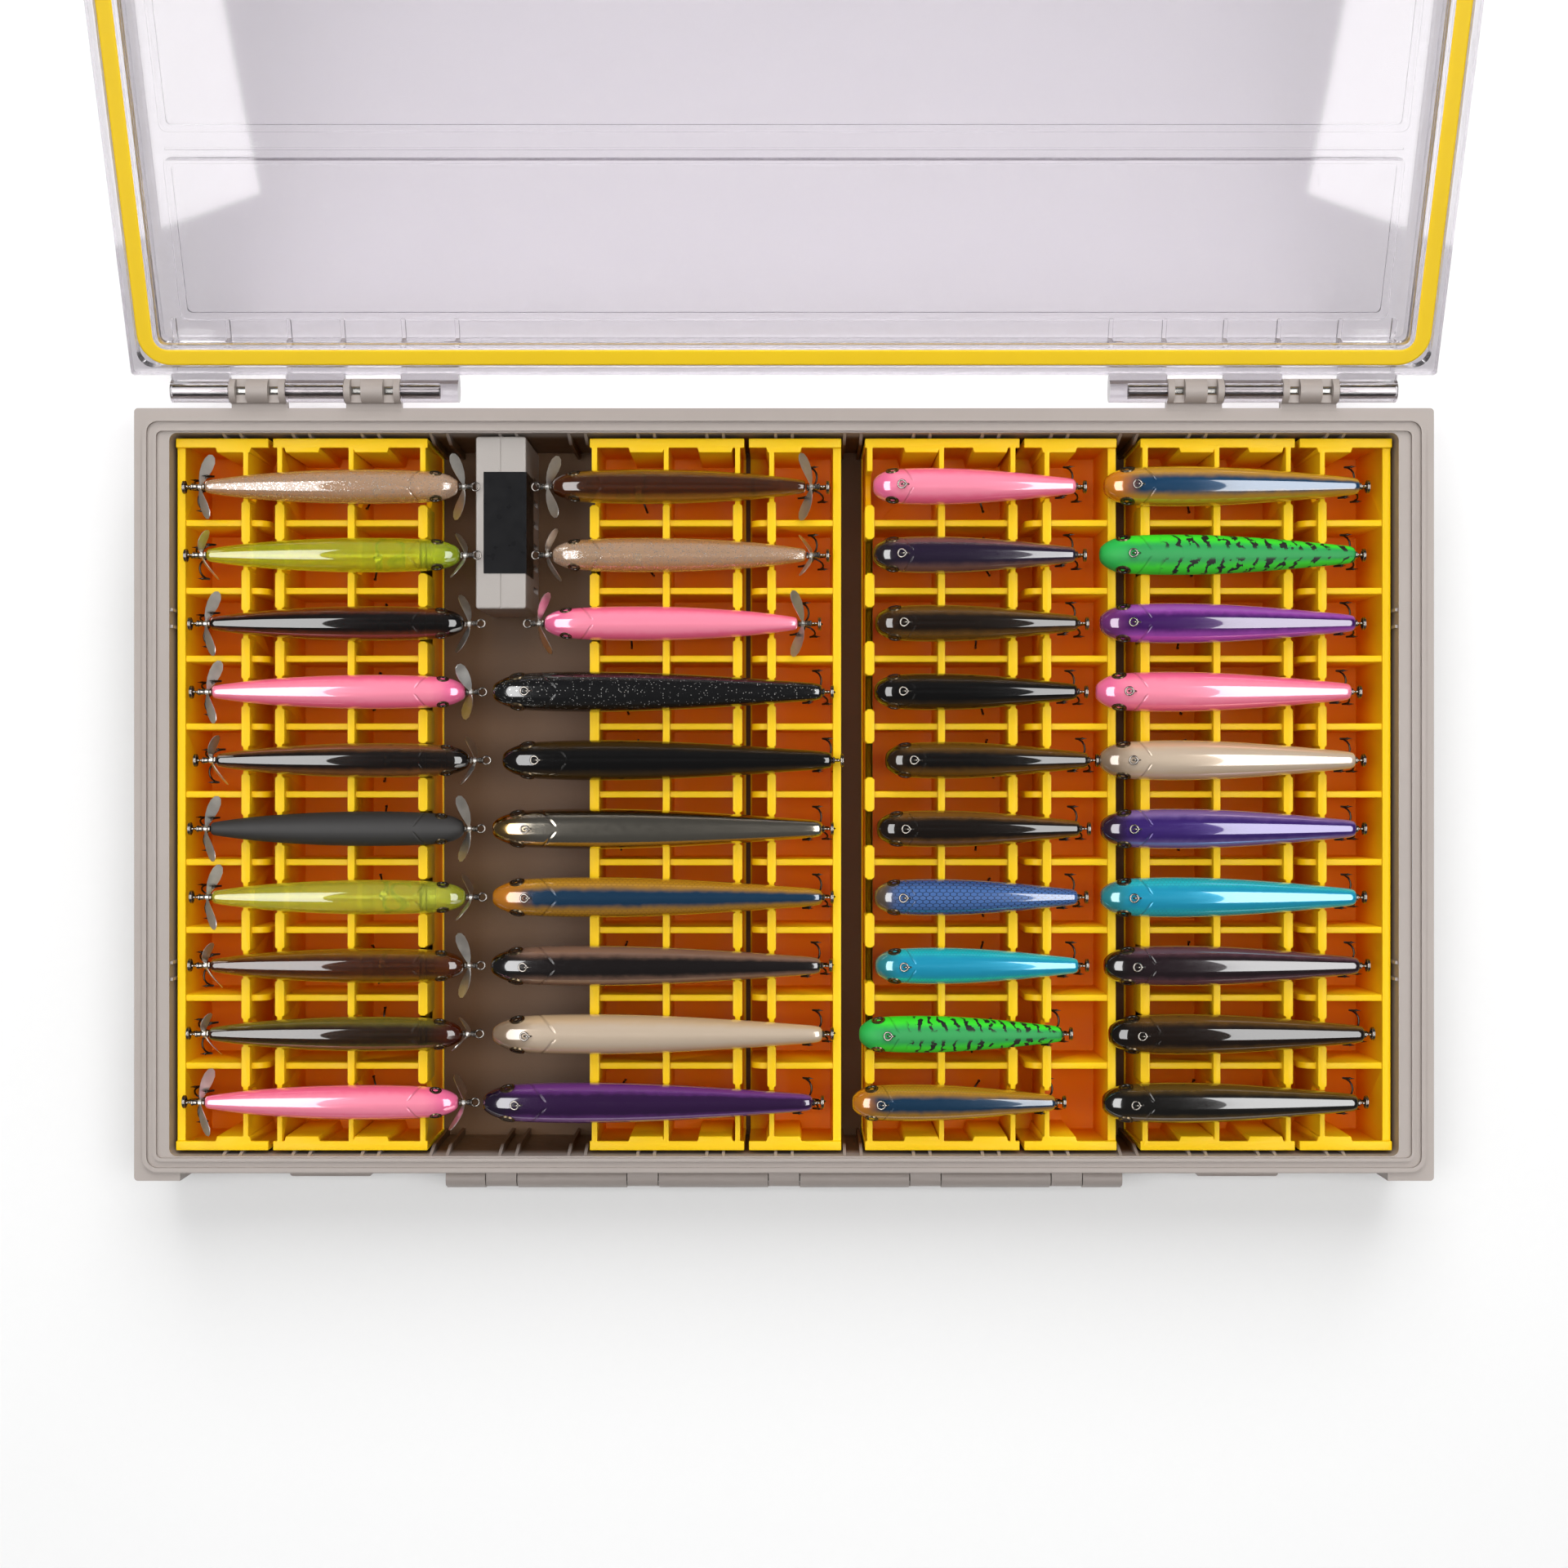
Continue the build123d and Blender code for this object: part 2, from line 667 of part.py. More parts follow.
with BuildPart() as holder_label:
    with BuildSketch(Plane.XY.offset(holder_top)):
        with Locations(((label_x + holder_x[1]) / 2, (label_y[0] + label_y[1]) / 2)):
            Rectangle(holder_x[1] - label_x, label_y[1] - label_y[0])
    extrude(amount=label_thickness)
    with BuildSketch(Plane.YZ.offset(holder_x[1])):
        with Locations(((label_y[0] + label_y[1]) / 2, (holder_top + label_low + label_thickness) / 2)):
            Rectangle(label_y[1] - label_y[0], holder_top - label_low + label_thickness)
    extrude(amount=label_thickness)

write(holder_label.part, "holder_label")


# ---------------------------------------------------------------- lures
# half-depth of each body as a share of its largest, at shares of its length from nose to tail
twin_prop_shape = ((0, 0.36), (0.05, 0.76), (0.12, 0.89), (0.36, 1), (0.55, 0.95), (0.82, 0.7), (1, 0.36))
walker_shape = ((0, 0.3), (0.03, 0.64), (0.11, 0.93), (0.25, 1), (0.44, 0.97), (0.77, 0.68), (1, 0.38))


def lure(node, nose_x, length, half_depth, row_y, axis_z, shape, way):
    """A slim body of revolution lying along X, nose at nose_x, tail in the direction of way."""
    points = [(nose_x + way * share * length, half_depth * depth) for share, depth in shape]
    with BuildPart() as body:
        with BuildSketch(Plane.XZ):
            with BuildLine():
                Line((points[0][0], 0), points[0])
                Spline(*points)
                Line(points[-1], (points[-1][0], 0))
                Line((points[-1][0], 0), (points[0][0], 0))
            make_face()
        revolve(axis=Axis.X)
    write(body.part.move(Location((0, row_y, axis_z))), node)


# each column: letter, way of the tail, then (body length, half-depth, nose x, colour) from the back row
twin_prop = (99.0, 6.9)
long_walker = (129.0, 8.0)
short_walker = (79.4, 7.3)
mid_walker = (100.0, 8.0)

column_a = (
    (twin_prop, -127.0, "ghost"),
    (twin_prop, -126.4, "chartreuse"),
    (twin_prop, -124.8, "black_clear"),
    (twin_prop, -124.2, "pink"),
    (twin_prop, -122.6, "smoke"),
    (twin_prop, -124.8, "matte_black"),
    (twin_prop, -124.2, "lime"),
    (twin_prop, -124.8, "amber"),
    (twin_prop, -125.4, "olive"),
    (twin_prop, -127.0, "rose"),
)
column_b = (
    (twin_prop, -90.4, "amber"),
    (twin_prop, -90.4, "ghost"),
    (twin_prop, -93.6, "pink"),
    (long_walker, -113.7, "black_glitter"),
    (long_walker, -109.8, "black"),
    (long_walker, -113.7, "chrome"),
    (long_walker, -113.7, "blue_gold"),
    (long_walker, -114.3, "black_brown"),
    (long_walker, -113.7, "pearl"),
    (long_walker, -117.5, "purple"),
)
column_c = (
    (short_walker, 34.6, "pink"),
    (short_walker, 34.6, "dusk"),
    (short_walker, 35.5, "brown_black"),
    (short_walker, 35.2, "black"),
    (short_walker, 39.4, "black_amber"),
    (short_walker, 36.2, "bronze"),
    (short_walker, 35.2, "blue_scale"),
    (short_walker, 35.5, "cyan"),
    (short_walker, 29.2, "green_tiger"),
    (short_walker, 26.6, "blue_gold"),
)
column_d = (
    (mid_walker, 124.5, "blue_orange"),
    (mid_walker, 122.9, "green_tiger"),
    (mid_walker, 122.9, "violet"),
    (mid_walker, 121.3, "pink"),
    (mid_walker, 122.9, "pearl"),
    (mid_walker, 123.2, "purple_orange"),
    (mid_walker, 123.2, "cyan"),
    (mid_walker, 124.5, "brown_violet"),
    (mid_walker, 126.4, "amber_black"),
    (mid_walker, 123.9, "black_gold"),
)

for letter, way, column in (("a", -1, column_a), ("b", 1, column_b), ("c", 1, column_c), ("d", 1, column_d)):
    for row, (kind, nose_x, colour) in enumerate(column):
        is_prop = kind == twin_prop
        shape = twin_prop_shape if is_prop else walker_shape
        axis_z = twin_prop_z if is_prop else walker_z
        node = f"lure_{letter}{row + 1:02d}_{colour}"
        lure(node, nose_x, kind[0], kind[1], row_places[row], axis_z, shape, way)
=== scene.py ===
"""Fishing tackle case with comb racks and forty lures: looks, hooks and blades on the CAD frame."""
import json
import math

import bpy
from mathutils import Matrix, Vector

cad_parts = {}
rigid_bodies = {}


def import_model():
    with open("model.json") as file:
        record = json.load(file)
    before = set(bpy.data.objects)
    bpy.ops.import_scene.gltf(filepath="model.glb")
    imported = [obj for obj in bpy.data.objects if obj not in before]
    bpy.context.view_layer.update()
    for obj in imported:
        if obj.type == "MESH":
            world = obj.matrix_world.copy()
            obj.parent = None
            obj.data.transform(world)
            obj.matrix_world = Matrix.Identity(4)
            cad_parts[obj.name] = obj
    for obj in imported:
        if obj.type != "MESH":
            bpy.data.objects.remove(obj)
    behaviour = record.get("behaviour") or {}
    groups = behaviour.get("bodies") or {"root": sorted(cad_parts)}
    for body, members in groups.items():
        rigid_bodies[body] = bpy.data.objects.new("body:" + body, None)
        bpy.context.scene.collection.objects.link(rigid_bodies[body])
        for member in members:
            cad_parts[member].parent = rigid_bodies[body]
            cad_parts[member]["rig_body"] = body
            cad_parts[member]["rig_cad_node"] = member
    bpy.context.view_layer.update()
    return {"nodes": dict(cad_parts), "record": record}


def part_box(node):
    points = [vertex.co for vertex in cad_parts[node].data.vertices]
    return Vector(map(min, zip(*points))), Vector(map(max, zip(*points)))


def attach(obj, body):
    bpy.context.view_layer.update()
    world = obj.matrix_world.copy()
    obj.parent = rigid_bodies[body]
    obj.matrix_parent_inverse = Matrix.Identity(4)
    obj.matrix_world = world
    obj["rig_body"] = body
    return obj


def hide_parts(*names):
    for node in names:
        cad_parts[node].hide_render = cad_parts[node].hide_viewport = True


bl_info = {
    "name": "Tackle Case Finisher",
    "version": (1, 0, 0),
    "blender": (4, 5, 0),
    "location": "View3D > Sidebar > Tackle Case",
    "description": "Finishes the tackle case: moulded plastic, clear lid, comb racks and painted lures",
    "category": "Object",
}

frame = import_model()
NODES = frame["nodes"]
BODY_OF = {node: body for body, nodes in frame["record"]["behaviour"]["bodies"].items() for node in nodes}

MM = 0.001
TURN = 2 * math.pi
PANEL_TAB = "Tackle Case"


# ---------------------------------------------------------------------------
# Lure kinds: length and half-depth in mm, and the half-depth's share at each share of the length
# ---------------------------------------------------------------------------

PROP_STATIONS = (
    (0.0, 0.34), (0.02, 0.52), (0.05, 0.76), (0.12, 0.89), (0.2, 0.95), (0.36, 1.0),
    (0.55, 0.95), (0.7, 0.83), (0.82, 0.7), (0.93, 0.5), (0.985, 0.38), (1.0, 0.33),
)
WALKER_STATIONS = (
    (0.0, 0.28), (0.012, 0.46), (0.03, 0.64), (0.064, 0.84), (0.11, 0.93), (0.24, 1.0),
    (0.44, 0.97), (0.61, 0.84), (0.77, 0.68), (0.89, 0.53), (0.975, 0.44), (1.0, 0.34),
)
LURE_KINDS = {
    "twin_prop": {
        "length": 99.0, "half_depth": 6.9, "stations": PROP_STATIONS, "belly_hook": 0.335,
        "eye_at": 0.088, "eye_long": 5.0, "tie_at": None, "props": True,
    },
    "long_walker": {
        "length": 129.0, "half_depth": 8.0, "stations": WALKER_STATIONS, "belly_hook": 0.38,
        "eye_at": 0.078, "eye_long": 6.2, "tie_at": 0.113, "props": False,
    },
    "short_walker": {
        "length": 79.4, "half_depth": 7.3, "stations": WALKER_STATIONS, "belly_hook": 0.5,
        "eye_at": 0.095, "eye_long": 5.4, "tie_at": 0.155, "props": False,
    },
    "mid_walker": {
        "length": 100.0, "half_depth": 8.0, "stations": WALKER_STATIONS, "belly_hook": 0.335,
        "eye_at": 0.09, "eye_long": 6.0, "tie_at": 0.135, "props": False,
    },
}
COLUMN_KINDS = {"a": "twin_prop", "b": "long_walker", "c": "short_walker", "d": "mid_walker"}
TWIN_PROPS_IN_B = 3

# Tail hooks lie folded towards the nose by this many degrees
TAIL_HOOK_FOLD = 58
# Short lures hang their belly hook over the middle of a rack bay, within these shares of their length
SHORT_HOOK_X = 76.0
SHORT_HOOK_SHARES = (0.48, 0.57)

# How far down from the top of the head the eyes sit, degrees, and how deep they are sunk, mm
EYE_DOWN = 63
EYE_SUNK = 0.62
# Where each part of the propeller hardware sits beyond the end of its lure, mm
PROP_STACK = (("washer", 0.5), ("blades", 2.0), ("bead", 3.9), ("washer", 5.0), ("eye_loop", 6.5))
# Radii of the wire rings, mm
EYE_LOOP_RADIUS = 1.55
TREBLE_EYE_RADIUS = 1.35
SPLIT_RING_RADIUS = 2.3

# Turn of the nose and tail propellers about the lure's own line, degrees, row by row
NOSE_PROP_TURNS = (-34, 30, 12, -54, 30, -26, 36, -28, 54, 28)
TAIL_PROP_TURNS = (28, -34, 30, 36, -29, 31, 34, -30, -33, 28)


# ---------------------------------------------------------------------------
# Lure finishes: colours as sRGB hex, and what each one adds
# clear: share of light that goes through; flakes: share of glitter; scales, bars, dark_scales: patterns
# pearl, metal and matte: the sheen; back_reach: how far the back's colour comes down the sides
# ---------------------------------------------------------------------------

def finish(back, flank, belly, head, **more):
    """One lure's four sprayed colours, and what else its finish has."""
    return {"back": back, "flank": flank, "belly": belly, "head": head, **more}


LURE_FINISHES = {
    "lure_amber": finish("4a2408", "a8761a", "8a6a18", "5a2a08", clear=0.6),
    "lure_amber_black": finish("1a0f08", "6e4c1c", "8a6020", "120c08", clear=0.2),
    "lure_black": finish("070606", "3c2a10", "6a4814", "0e0a08", clear=0.15),
    "lure_black_amber": finish("0b0907", "6e4c16", "a07014", "2a1a0a", clear=0.3, back_reach=0.16),
    "lure_black_brown": finish("120b0b", "7a5c4c", "6a4a30", "0e0a0a", back_reach=0.17),
    "lure_black_clear": finish("0c0908", "7a3a18", "a86a3a", "0a0707", clear=0.4),
    "lure_black_glitter": finish("0a0a0c", "171310", "4a340c", "0a0a0b", flakes=0.16),
    "lure_black_gold": finish("0c0906", "5a4216", "8a6a1c", "0c0907"),
    "lure_blue_gold": finish(
        "0e3450", "b88420", "b89030", "c2781c", scales=0.35, pearl=0.4, back_reach=0.15
    ),
    "lure_blue_orange": finish("123e60", "c08c22", "b07a1c", "d07c1a", pearl=0.4, back_reach=0.15),
    "lure_blue_scale": finish("456aa6", "3a5a90", "6a5a30", "54483c", dark_scales=0.9),
    "lure_bronze": finish("140d08", "7c521e", "8a6224", "1c120a", clear=0.2),
    "lure_brown_black": finish("1a1008", "74501c", "7a5418", "3a240c", clear=0.3, back_reach=0.17),
    "lure_brown_violet": finish("1c0e14", "5e3a44", "7a5a2c", "100a0a"),
    "lure_chartreuse": finish("d0e02c", "c2c424", "c8b824", "b0c82c", clear=0.7),
    "lure_chrome": finish("d8d0c0", "cfc4ac", "c8b890", "c09a5c", metal=1.0, scales=0.25),
    "lure_cyan": finish("1a9cc0", "24c4cc", "bca838", "2a8a94", scales=0.25, pearl=0.5),
    "lure_dusk": finish("20142c", "6c4a42", "7a5430", "1c1218"),
    "lure_ghost": finish("c2a284", "be8c54", "b88444", "c0a288", clear=0.4, flakes=0.7),
    "lure_green_tiger": finish(
        "009040", "30d41c", "b8cc1c", "04a840", bars=1.0, matte=True, back_reach=0.17
    ),
    "lure_lime": finish("d2dc4c", "ccd044", "ccbc30", "b4c040", clear=0.7),
    "lure_matte_black": finish("262423", "262423", "2a2827", "262423", matte=True),
    "lure_olive": finish("2c1a08", "80742c", "8a7a28", "4a1808", clear=0.5),
    "lure_pearl": finish("ccb8a2", "ceb08a", "c09a68", "8e7862", pearl=0.4),
    "lure_purple": finish("2c0c3c", "6c3480", "8a5048", "1c0c26", pearl=0.3),
    "lure_purple_orange": finish("3a2070", "8468a8", "b06430", "2a1430", pearl=0.5),
    "lure_rose": finish("ff90aa", "fb6a90", "f58a94", "ee6c9a", pearl=0.2),
    "lure_smoke": finish("140e0b", "8a5a2c", "96682c", "120c0a", clear=0.4),
    "lure_violet": finish("3e0e5c", "a04ab0", "9a4484", "6a2a6c", pearl=0.2, back_reach=0.15),
}


# ---------------------------------------------------------------------------
# Paint and lighting constants: linear colours, shares of one, then lamp places and sizes in metres
# ---------------------------------------------------------------------------

# Painted shade and painted yellow bounce light for the inside of the tray, and how much of it is mixed in
TRAY_PAINTED_SHADE = [0.105, 0.05, 0.017, 1.0]
TRAY_PAINTED_SHADE_SHARE = 0.97
LID_DUST = [0.55, 0.53, 0.54, 1.0]
LID_SHADOW = [0.93, 0.92, 0.935, 1.0]
FELT_DARK = [0.62, 0.61, 0.58, 1.0]
FELT_LIGHT = [0.86, 0.85, 0.82, 1.0]
# Painted shade in the lures' gill crease and mouth line
CREASE_SHADE_DARK = [0.01, 0.008, 0.006, 1.0]
SCALE_EDGE = [0.02, 0.015, 0.01, 1.0]
DARK_SCALE_EDGE = [0.006, 0.008, 0.02, 1.0]
BAR_BLACK = [0.004, 0.004, 0.003, 1.0]
FLAKE_WHITE = [0.95, 0.94, 0.9, 1.0]
PUPIL_BLACK = [0.004, 0.004, 0.004, 1.0]
PUPIL_BROWN = [0.02, 0.014, 0.01, 1.0]
TONE_CHANGE = 0.10
BRUSHED = 0.06
HEAD_REACH = 0.09
# Edges sharper than this, in degrees, are rounded
SHARP_ANGLE = 28.0
FLOOR_SIZE = 8.0
STRIP_PLACE = (0, 0.02, 1.65)
STRIP_SIZE = (1.7, 0.42)
KEY_PLACE = (0.2, 2.7, 2.7)
KEY_SIZE = (3.0, 3.0)
GLINT_ASIDE = 0.97
GLINT_HEIGHT = 1.5
GLINT_SIZE = (2.1, 0.8)
# How far the camera stands behind the middle of the tray, mm
CAMERA_Y = 4.1


# ---------------------------------------------------------------------------
# Settings a user would change
# ---------------------------------------------------------------------------


def colour_setting(name, description, value):
    """A colour swatch setting, given as linear red, green and blue."""
    return bpy.props.FloatVectorProperty(
        name=name, description=description, default=value, subtype="COLOR", size=3, min=0.0, max=1.0
    )


def length_setting(name, description, value):
    """A length setting, given in mm and kept in metres."""
    return bpy.props.FloatProperty(
        name=name, description=description, default=value * MM, unit="LENGTH", precision=5, min=0.0
    )


def share_setting(name, description, value):
    """A setting between nothing and everything."""
    return bpy.props.FloatProperty(
        name=name, description=description, default=value, subtype="FACTOR", min=0.0, max=1.0
    )


def power_setting(name, description, value):
    """A lamp's power."""
    return bpy.props.FloatProperty(name=name, description=description, default=value, min=0.0)


class CaseSettings(bpy.types.PropertyGroup):
    """The gray tray and latch, and the moisture holder."""

    gray: colour_setting("Case gray", "Colour of the tray and the latch", (0.39, 0.34, 0.312))
    holder_gray: colour_setting("Holder gray", "Colour of the moisture holder", (0.37, 0.335, 0.31))
    roughness: share_setting("Roughness", "Roughness of the moulded gray plastic", 0.42)
    grain: length_setting("Grain", "Size of the moulded grain", 0.55)


class RackSettings(bpy.types.PropertyGroup):
    """The yellow comb racks and the yellow seal."""

    yellow: colour_setting("Rack yellow", "Colour of the comb racks", (1.0, 0.63, 0.008))
    # Painted shade and painted bounce light: the orange the combs go to down in the bays
    painted_bay_shade: colour_setting("Deep yellow", "Colour of the combs down in the bays", (0.78, 0.19, 0.0))
    seal_yellow: colour_setting("Seal yellow", "Colour of the lid seal", (0.90, 0.60, 0.0))
    roughness: share_setting("Roughness", "Roughness of the yellow plastic", 0.38)
    edge: length_setting("Edge round", "Radius on the moulded edges", 0.3)


class LidSettings(bpy.types.PropertyGroup):
    """The clear lid."""

    tint: colour_setting("Tint", "Colour that the clear plastic gives to light", (0.52, 0.5, 0.525))
    roughness: share_setting("Roughness", "Roughness of the polished plastic", 0.03)


class LureSettings(bpy.types.PropertyGroup):
    """The lures, their eyes, hooks and blades."""

    wire: length_setting("Wire", "Diameter of ring and eye wire", 0.75)
    hook_wire: length_setting("Hook wire", "Diameter of the hook wire", 0.8)
    hook_drop: length_setting("Hook shank", "Length of a hook's shank", 8.6)
    hook_reach: length_setting("Hook reach", "How far a hook's bend reaches from its shank", 8.6)
    blade: length_setting("Blade", "Length of one propeller blade", 12.0)
    flake: length_setting("Flake", "Size of a glitter flake", 0.45)
    gloss: share_setting("Gloss", "Strength of the clear coat", 1.0)


class StageSettings(bpy.types.PropertyGroup):
    """Floor, lamps and camera."""

    floor: colour_setting("Floor", "Colour of the floor", (0.92, 0.92, 0.92))
    camera_height: length_setting("Camera height", "Height of the camera over the floor", 952.0)
    lens: bpy.props.FloatProperty(name="Lens", description="Focal length in mm", default=52.93, min=10.0)
    strip_power: power_setting("Strip", "Power of the strip lamp, W", 16.0)
    key_power: power_setting("Key", "Power of the key lamp, W", 90.0)
    glint_power: power_setting("Glint", "Power of a glint lamp, W", 32.0)
    sky: share_setting("Sky", "Strength of the even light", 0.26)


SETTINGS = {
    "tackle_case": CaseSettings,
    "tackle_rack": RackSettings,
    "tackle_lid": LidSettings,
    "tackle_lure": LureSettings,
    "tackle_stage": StageSettings,
}


# ---------------------------------------------------------------------------
# Small tools
# ---------------------------------------------------------------------------


def linear(code):
    """Linear red, green, blue and alpha of an sRGB hex code."""
    parts = [int(code[i : i + 2], 16) / 255 for i in (0, 2, 4)]
    return [c / 12.92 if c <= 0.04045 else ((c + 0.055) / 1.055) ** 2.4 for c in parts] + [1.0]


def start_clean():
    """Leaves edit mode and deselects everything."""
    if bpy.context.object is not None and bpy.context.object.mode != "OBJECT":
        bpy.ops.object.mode_set(mode="OBJECT")
    bpy.ops.object.select_all(action="DESELECT")


def select_only(obj):
    """Makes obj the one selected, active object."""
    start_clean()
    obj.select_set(True)
    bpy.context.view_layer.objects.active = obj


def finish_shape(name, smooth_angle=40.0):
    """Applies the active object's transform, merges its doubles, turns faces outwards and names it."""
    obj = bpy.context.object
    bpy.ops.object.mode_set(mode="EDIT")
    bpy.ops.mesh.select_all(action="SELECT")
    bpy.ops.mesh.remove_doubles(threshold=0.002 * MM)
    bpy.ops.mesh.normals_make_consistent(inside=False)
    bpy.ops.object.mode_set(mode="OBJECT")
    bpy.ops.object.transform_apply(location=True, rotation=True, scale=True)
    bpy.ops.object.shade_smooth_by_angle(angle=math.radians(smooth_angle))
    obj.name = name
    obj.data.name = name
    return obj


def apply_modifiers(obj):
    """Applies every modifier of obj, first to last."""
    select_only(obj)
    for modifier in list(obj.modifiers):
        bpy.ops.object.modifier_apply(modifier=modifier.name)


def extrude_to(step, scale=1.0, centre=(0, 0, 0)):
    """Extrudes the selected faces by step, then scales them about centre."""
    bpy.ops.mesh.extrude_region_move(TRANSFORM_OT_translate={"value": step})
    if scale != 1.0:
        factor = scale if isinstance(scale, tuple) else (scale, scale, scale)
        bpy.ops.transform.resize(value=factor, center_override=centre)


def joined(name, parts, body):
    """One piece out of copies of templates: parts is (template, matrix) pairs."""
    start_clean()
    copies = []
    for template, matrix in parts:
        copy = template.copy()
        copy.data = template.data.copy()
        copy.data.transform(matrix)
        bpy.context.scene.collection.objects.link(copy)
        copies.append(copy)
    for copy in copies:
        copy.select_set(True)
    bpy.context.view_layer.objects.active = copies[0]
    if len(copies) > 1:
        bpy.ops.object.join()
    piece = bpy.context.view_layer.objects.active
    piece.name = name
    piece.data.name = name
    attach(piece, body)
    return piece


def drop_templates(*templates):
    """Removes templates after their copies are made."""
    for template in templates:
        bpy.data.objects.remove(template)


def paint(obj, *materials):
    """Gives obj these materials, in its slots' order."""
    while len(obj.data.materials) < len(materials):
        obj.data.materials.append(None)
    for index, material in enumerate(materials):
        obj.data.materials[index] = material


def softened(node, edge):
    """A copy of a CAD node, in its place, with rounded edges. Its points know whether they lie inward."""
    source = NODES[node]
    piece = source.copy()
    piece.data = source.data.copy()
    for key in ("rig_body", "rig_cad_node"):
        del piece[key]
    piece.parent = None
    bpy.context.scene.collection.objects.link(piece)
    piece.name = node + "_moulded"
    piece.data.name = piece.name
    select_only(piece)
    bpy.ops.object.mode_set(mode="EDIT")
    bpy.ops.mesh.select_all(action="SELECT")
    bpy.ops.mesh.remove_doubles(threshold=0.01 * MM)
    bpy.ops.mesh.dissolve_limited(angle_limit=math.radians(1.0))
    bpy.ops.object.mode_set(mode="OBJECT")
    bevel = piece.modifiers.new("edge_round", "BEVEL")
    bevel.width = edge
    bevel.segments = 2
    bevel.limit_method = "ANGLE"
    bevel.angle_limit = math.radians(SHARP_ANGLE)
    bevel.use_clamp_overlap = False
    bevel.miter_outer = "MITER_ARC"
    apply_modifiers(piece)
    bpy.ops.object.shade_smooth_by_angle(angle=math.radians(32))
    low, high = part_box(node)
    # Points more than 0.5 mm in from the rack's outer skin are marked, so the painted bay shade keeps off
    # the outer skin
    inward = piece.data.attributes.new("inward", "FLOAT", "POINT")
    for index, vertex in enumerate(piece.data.vertices):
        x, y, z = vertex.co
        from_skin = min(x - low.x, high.x - x, y - low.y, high.y - y)
        inward.data[index].value = 1.0 if from_skin > 0.5 * MM else 0.0
    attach(piece, BODY_OF[node])
    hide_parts(node)
    return piece


# ---------------------------------------------------------------------------
# Node groups
# ---------------------------------------------------------------------------

SOCKETS = {"value": "NodeSocketFloat", "colour": "NodeSocketColor", "vector": "NodeSocketVector"}


class Tree:
    """A thin hand on a node tree: adds a node, sets its inputs and returns it."""

    def __init__(self, tree):
        self.tree = tree

    def add(self, kind, inputs=None, **settings):
        node = self.tree.nodes.new(kind)
        for key, value in settings.items():
            setattr(node, key, value)
        for key, value in (inputs or {}).items():
            self.feed(node.inputs[key], value)
        return node

    def feed(self, socket, value):
        if isinstance(value, bpy.types.NodeSocket):
            self.tree.links.new(value, socket)
        else:
            socket.default_value = value

    def math(self, operation, first, second=0.0):
        return self.add("ShaderNodeMath", {0: first, 1: second}, operation=operation).outputs[0]

    def vector(self, operation, first, second=(0.0, 0.0, 0.0)):
        return self.add("ShaderNodeVectorMath", {0: first, 1: second}, operation=operation).outputs[0]

    def inverse(self, value):
        """One less the value."""
        return self.math("SUBTRACT", 1.0, value)

    def step(self, value, low, high):
        """0 below low, 1 above high, smooth between."""
        node = self.add(
            "ShaderNodeMapRange",
            {"Value": value, "From Min": low, "From Max": high},
            interpolation_type="SMOOTHSTEP",
        )
        return node.outputs["Result"]

    def mix(self, share, first, second, blend="MIX"):
        node = self.add("ShaderNodeMix", data_type="RGBA", blend_type=blend)
        self.feed(node.inputs[0], share)
        self.feed(node.inputs[6], first)
        self.feed(node.inputs[7], second)
        return node.outputs[2]

    def noise(self, vector, scale, detail=2.0, roughness=0.5):
        node = self.add(
            "ShaderNodeTexNoise",
            {"Vector": vector, "Scale": scale, "Detail": detail, "Roughness": roughness},
        )
        return node.outputs[0]

    def group(self, name, **inputs):
        node = self.add("ShaderNodeGroup", node_tree=bpy.data.node_groups[name])
        for key, value in inputs.items():
            self.feed(node.inputs[key.replace("_", " ")], value)
        return node.outputs


def new_group(name, inputs, outputs):
    """An empty shader node group: its tree, its input sockets, and the node that its results go to."""
    tree = bpy.data.node_groups.new(name, "ShaderNodeTree")
    for label, kind, value in inputs:
        socket = tree.interface.new_socket(name=label, in_out="INPUT", socket_type=SOCKETS[kind])
        if value is not None:
            socket.default_value = value
    for label, kind in outputs:
        tree.interface.new_socket(name=label, in_out="OUTPUT", socket_type=SOCKETS[kind])
    hand = Tree(tree)
    entry = hand.add("NodeGroupInput").outputs
    leave = hand.add("NodeGroupOutput")
    return hand, entry, leave


def build_moulded_grain():
    """Fine spark-eroded grain, and the slow change of tone of a large moulding."""
    hand, entry, leave = new_group(
        "Moulded Grain",
        [("Vector", "vector", None), ("Scale", "value", 1800.0), ("Tone Scale", "value", 22.0)],
        [("Height", "value"), ("Tone", "value"), ("Roughness Shift", "value")],
    )
    fine = hand.noise(entry["Vector"], entry["Scale"], 3.0, 0.62)
    tone = hand.noise(entry["Vector"], entry["Tone Scale"], 3.0, 0.55)
    patches = hand.noise(entry["Vector"], hand.math("MULTIPLY", entry["Tone Scale"], 9.0))
    shift = hand.math("SUBTRACT", patches, 0.5)
    hand.feed(leave.inputs["Height"], fine)
    hand.feed(leave.inputs["Tone"], tone)
    hand.feed(leave.inputs["Roughness Shift"], hand.math("MULTIPLY", shift, 0.16))


